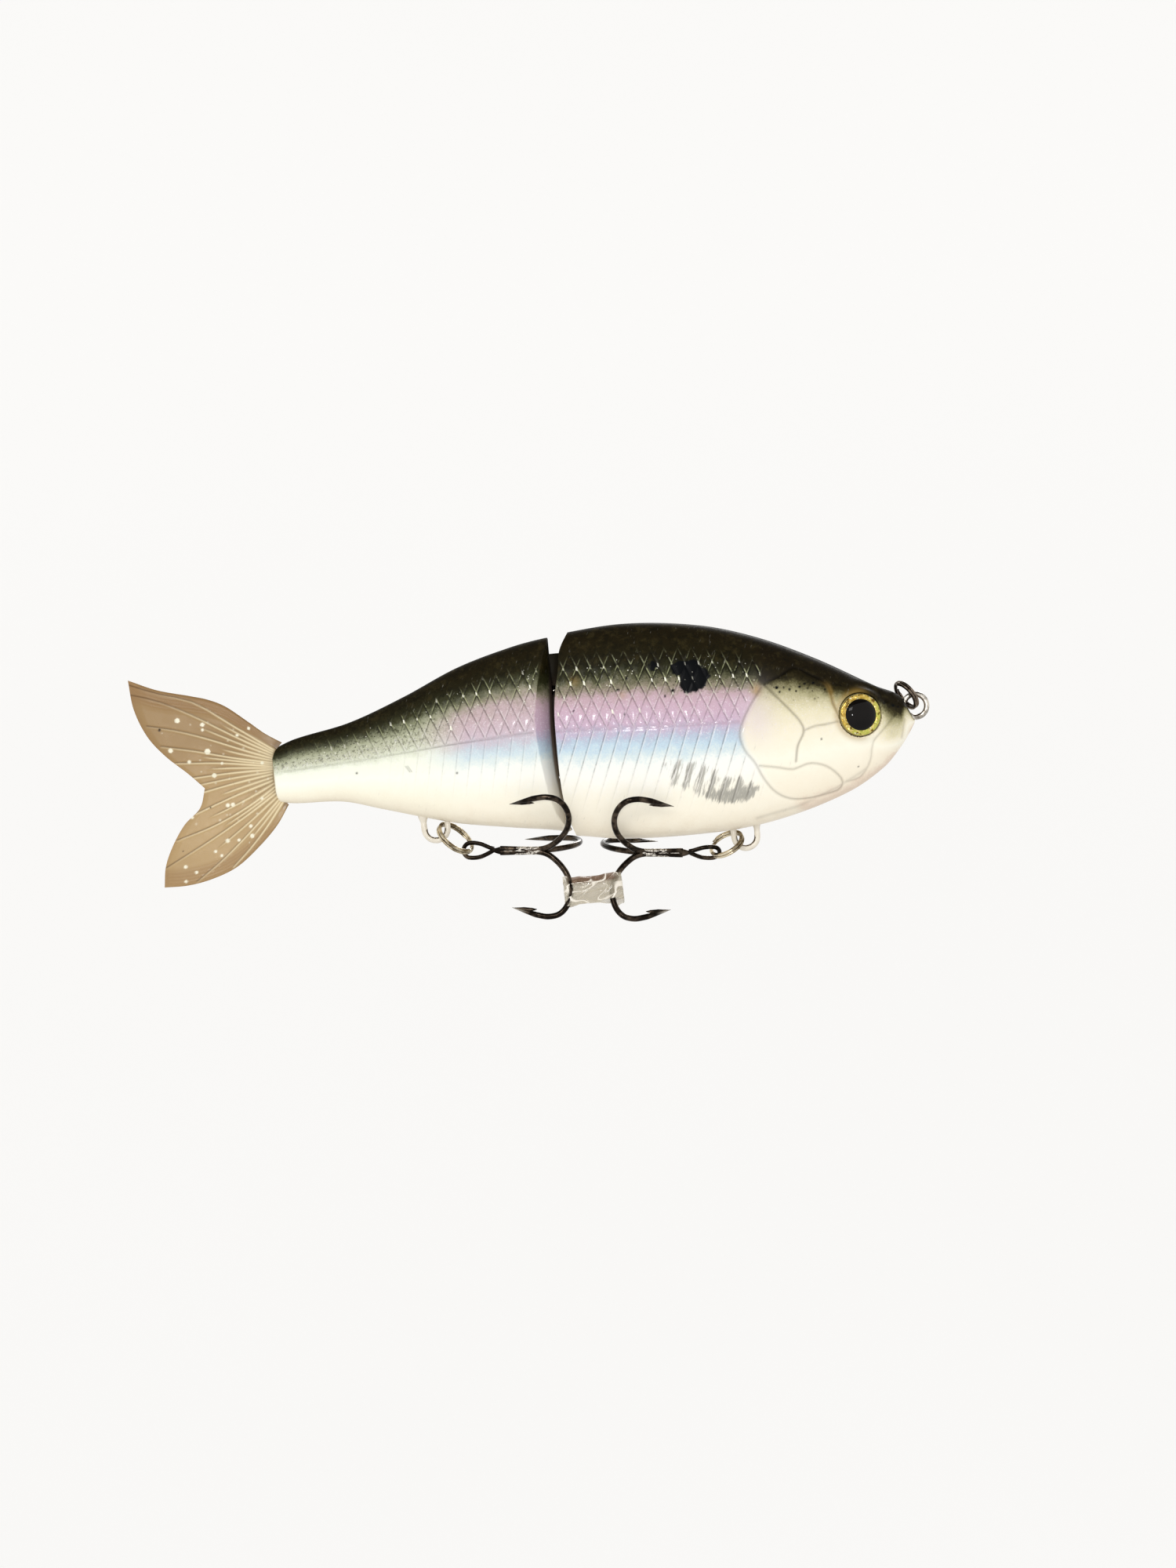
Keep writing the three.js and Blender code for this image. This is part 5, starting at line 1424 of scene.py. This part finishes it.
def tie_band():
    """A crumpled strip of clear film wrapped round the two lower bends."""
    length, height = 300, 46
    around = np.linspace(0, 2 * np.pi, length, endpoint=False)[:, None]
    up = np.linspace(0, 1, height)[None]
    centre_x, half_x = -72.1, 6.2
    c, s = np.cos(around), np.sin(around)
    # Pinched flat between the hooks, fuller round each wire.
    pinch = 0.45 + 0.75 * np.abs(c) ** 3
    x = centre_x + half_x * np.sign(c) * np.abs(c) ** 0.72 + 0 * up
    y = 1.55 * np.sign(s) * np.abs(s) ** 0.6 * pinch + 0 * up
    level = -11.9 + 6.2 * up
    sag = 0.5 * np.sin(2.0 * around + 0.6) * (up - 0.5)
    points = np.stack([x, y, level + sag], axis=-1)
    flat = points.reshape(-1, 3)
    folds = value_noise(flat * [0.24, 0.4, 0.5] + 7, 1).reshape(length, height)
    creases = value_noise(turned(flat, 35, "y") * [0.3, 0.4, 0.85] + 3, 6).reshape(length, height)
    wrinkle = 0.35 * (1 - 2 * np.abs(folds)) + 0.2 * (1 - 2 * np.abs(creases))
    line = np.maximum(hill(folds, 0, 0.07), 0.7 * hill(creases, 0, 0.06))
    circle = np.stack([3 * c[:, 0], 3 * s[:, 0], 0 * s[:, 0]], axis=-1)
    ragged = value_noise(circle, 12)
    points[..., 2] += (ragged[:, None] * 0.45) * np.abs(2 * up - 1) ** 2
    outwards = np.stack([0.35 * c + 0 * up, s + 0 * up, 0 * (s + up)], axis=-1)
    points = points + outwards * (0.75 * wrinkle[..., None])
    inner = points - outwards * 0.09
    placed = [turned(layer, -20, "x") + [0, -2.8, -23.4] for layer in (points, inner)]
    size = length * height
    quads = []
    for i in range(length):
        j = (i + 1) % length
        for k in range(height - 1):
            a, b = i * height + k, j * height + k
            quads += [[a, b, b + 1, a + 1], [a + size, a + 1 + size, b + 1 + size, b + size]]
        low_a, low_b = i * height, j * height
        top_a, top_b = low_a + height - 1, low_b + height - 1
        quads += [[low_a, low_a + size, low_b + size, low_b], [top_a, top_b, top_b + size, top_a + size]]
    # The creases are whitened partly by the film itself and partly as painted highlights; the lip carries a
    # painted brown reflection.
    crease = np.clip(line + 0.3 * step(0.2, 0.6, folds) * step(0.75, 0.6, up), 0, 1)
    lip = step(0.7, 0.8, up) * step(0.2, -0.2, np.abs(c) - 0.75)
    shape = Shape()
    shape.add(np.vstack([p.reshape(-1, 3) for p in placed]), quads, crease=doubled(crease), lip=doubled(lip))
    return shape


tie_band().piece("tie_band_film", "front_treble", ["hook_tie_band"], FILM, BAND_CREASE)


# ------------------------------------------------------- pieces kept from the CAD

KEPT = {
    "head_front_ballast": LEAD, "head_belly_ballast": LEAD, "tail_ballast": LEAD,
    "hinge_pin": BRIGHT, "tail_fin_pin": BRIGHT,
}
for node, finish in KEPT.items():
    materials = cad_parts[node].data.materials
    materials.clear()
    materials.append(finish.material)


# --------------------------------------------------------------------- the stage

FLOOR_Z = -0.42
CENTRE = (-0.0709, 0.0, -0.0093)
CAMERA_DISTANCE = 1.2
VISIBLE_HEIGHT = 1000 / 3 * MM  # that the picture takes in at the object
NOSE_UP = math.radians(6)


def cove():
    """A round pale floor that curves up into a wall, the same from every side."""
    flat, bend, top, count = 1.5, 0.7, 2.2, 96
    profile = [(flat, FLOOR_Z)]
    profile += [(flat + bend * math.sin(a), FLOOR_Z + bend * (1 - math.cos(a)))
                for a in np.radians(np.linspace(6, 90, 15))]
    profile += [(flat + bend, top)]
    points = [(CENTRE[0], CENTRE[1], FLOOR_Z)]
    for radius, z in profile:
        for k in range(count):
            angle = 2 * math.pi * k / count
            points.append((CENTRE[0] + radius * math.cos(angle), CENTRE[1] + radius * math.sin(angle), z))
    faces = [[0, 1 + k, 1 + (k + 1) % count] for k in range(count)]
    faces += [[k + 1 for k in quad] for quad in grid_faces(len(profile), count, wrap=True)]
    mesh = bpy.data.meshes.new("pale_cove")
    mesh.from_pydata(points, [], faces)
    mesh.shade_smooth()
    thing = linked("pale_cove", mesh)
    # The sweep glows softly, less underneath the object than round it.
    f = Finish("pale_sweep", "stage", Roughness=0.9, Specular_IOR_Level=0.1)
    f.set(Base_Color=f.mix(f.noise(2.0, 3), display(128, 127, 125), display(134, 133, 131)))
    out = f.nodes.new("ShaderNodeVectorMath")
    out.operation = "LENGTH"
    f.put(out.inputs[0], f.place)
    glow = f.band(out.outputs["Value"], 0.6, 1.6, 0.62, 0.78)
    f.set(Emission_Color=(1.0, 0.995, 0.985, 1.0), Emission_Strength=glow)
    mesh.materials.append(f.material)
    thing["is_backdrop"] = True


def soft_box(name, place, target, size, watts, colour=(1.0, 1.0, 1.0)):
    """An area light at place, facing target."""
    light = bpy.data.lights.new(name, "AREA")
    light.shape, light.size, light.size_y = "RECTANGLE", size[0], size[1]
    light.energy, light.color = watts, colour
    thing = linked(name, light)
    thing.location = place
    thing.rotation_euler = (Vector(target) - Vector(place)).to_track_quat("-Z", "Y").to_euler()


def camera():
    """A long lens looking along +Y, level, with the nose six degrees up in the picture."""
    data = bpy.data.cameras.new("studio_camera")
    data.sensor_fit, data.sensor_height = "VERTICAL", 36.0
    data.lens = data.sensor_height * CAMERA_DISTANCE / VISIBLE_HEIGHT
    data.clip_start, data.clip_end = 0.05, 20.0
    thing = linked("studio_camera", data)
    c, s = math.cos(NOSE_UP), math.sin(NOSE_UP)
    right, up = (c, 0, -s), (s, 0, c)
    back = (0, -1, 0)
    place = (CENTRE[0], -CAMERA_DISTANCE, CENTRE[2])
    thing.matrix_world = Matrix([[right[k], up[k], back[k], place[k]] for k in range(3)] + [[0, 0, 0, 1]])
    bpy.context.scene.camera = thing


cove()
soft_box("key_front", (-0.35, -0.95, 0.55), CENTRE, (0.42, 0.26), 2.4, (1.0, 0.98, 0.95))
soft_box("key_back", (0.2, 0.95, 0.55), CENTRE, (0.42, 0.26), 2.9)
soft_box("near_lens", (-0.16, -1.15, 0.05), CENTRE, (0.08, 0.08), 1.3)
camera()

world = bpy.data.worlds.new("studio_air")
world.use_nodes = True
world.node_tree.nodes["Background"].inputs["Color"].default_value = (1.0, 0.99, 0.97, 1.0)
world.node_tree.nodes["Background"].inputs["Strength"].default_value = 0.15
bpy.context.scene.world = world
bpy.context.scene.view_settings.view_transform = "Standard"

boxes = {"cad": CAD_BOX, "visual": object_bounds()}
{name: [list(map(float, corner)) for corner in box] for name, box in boxes.items()}
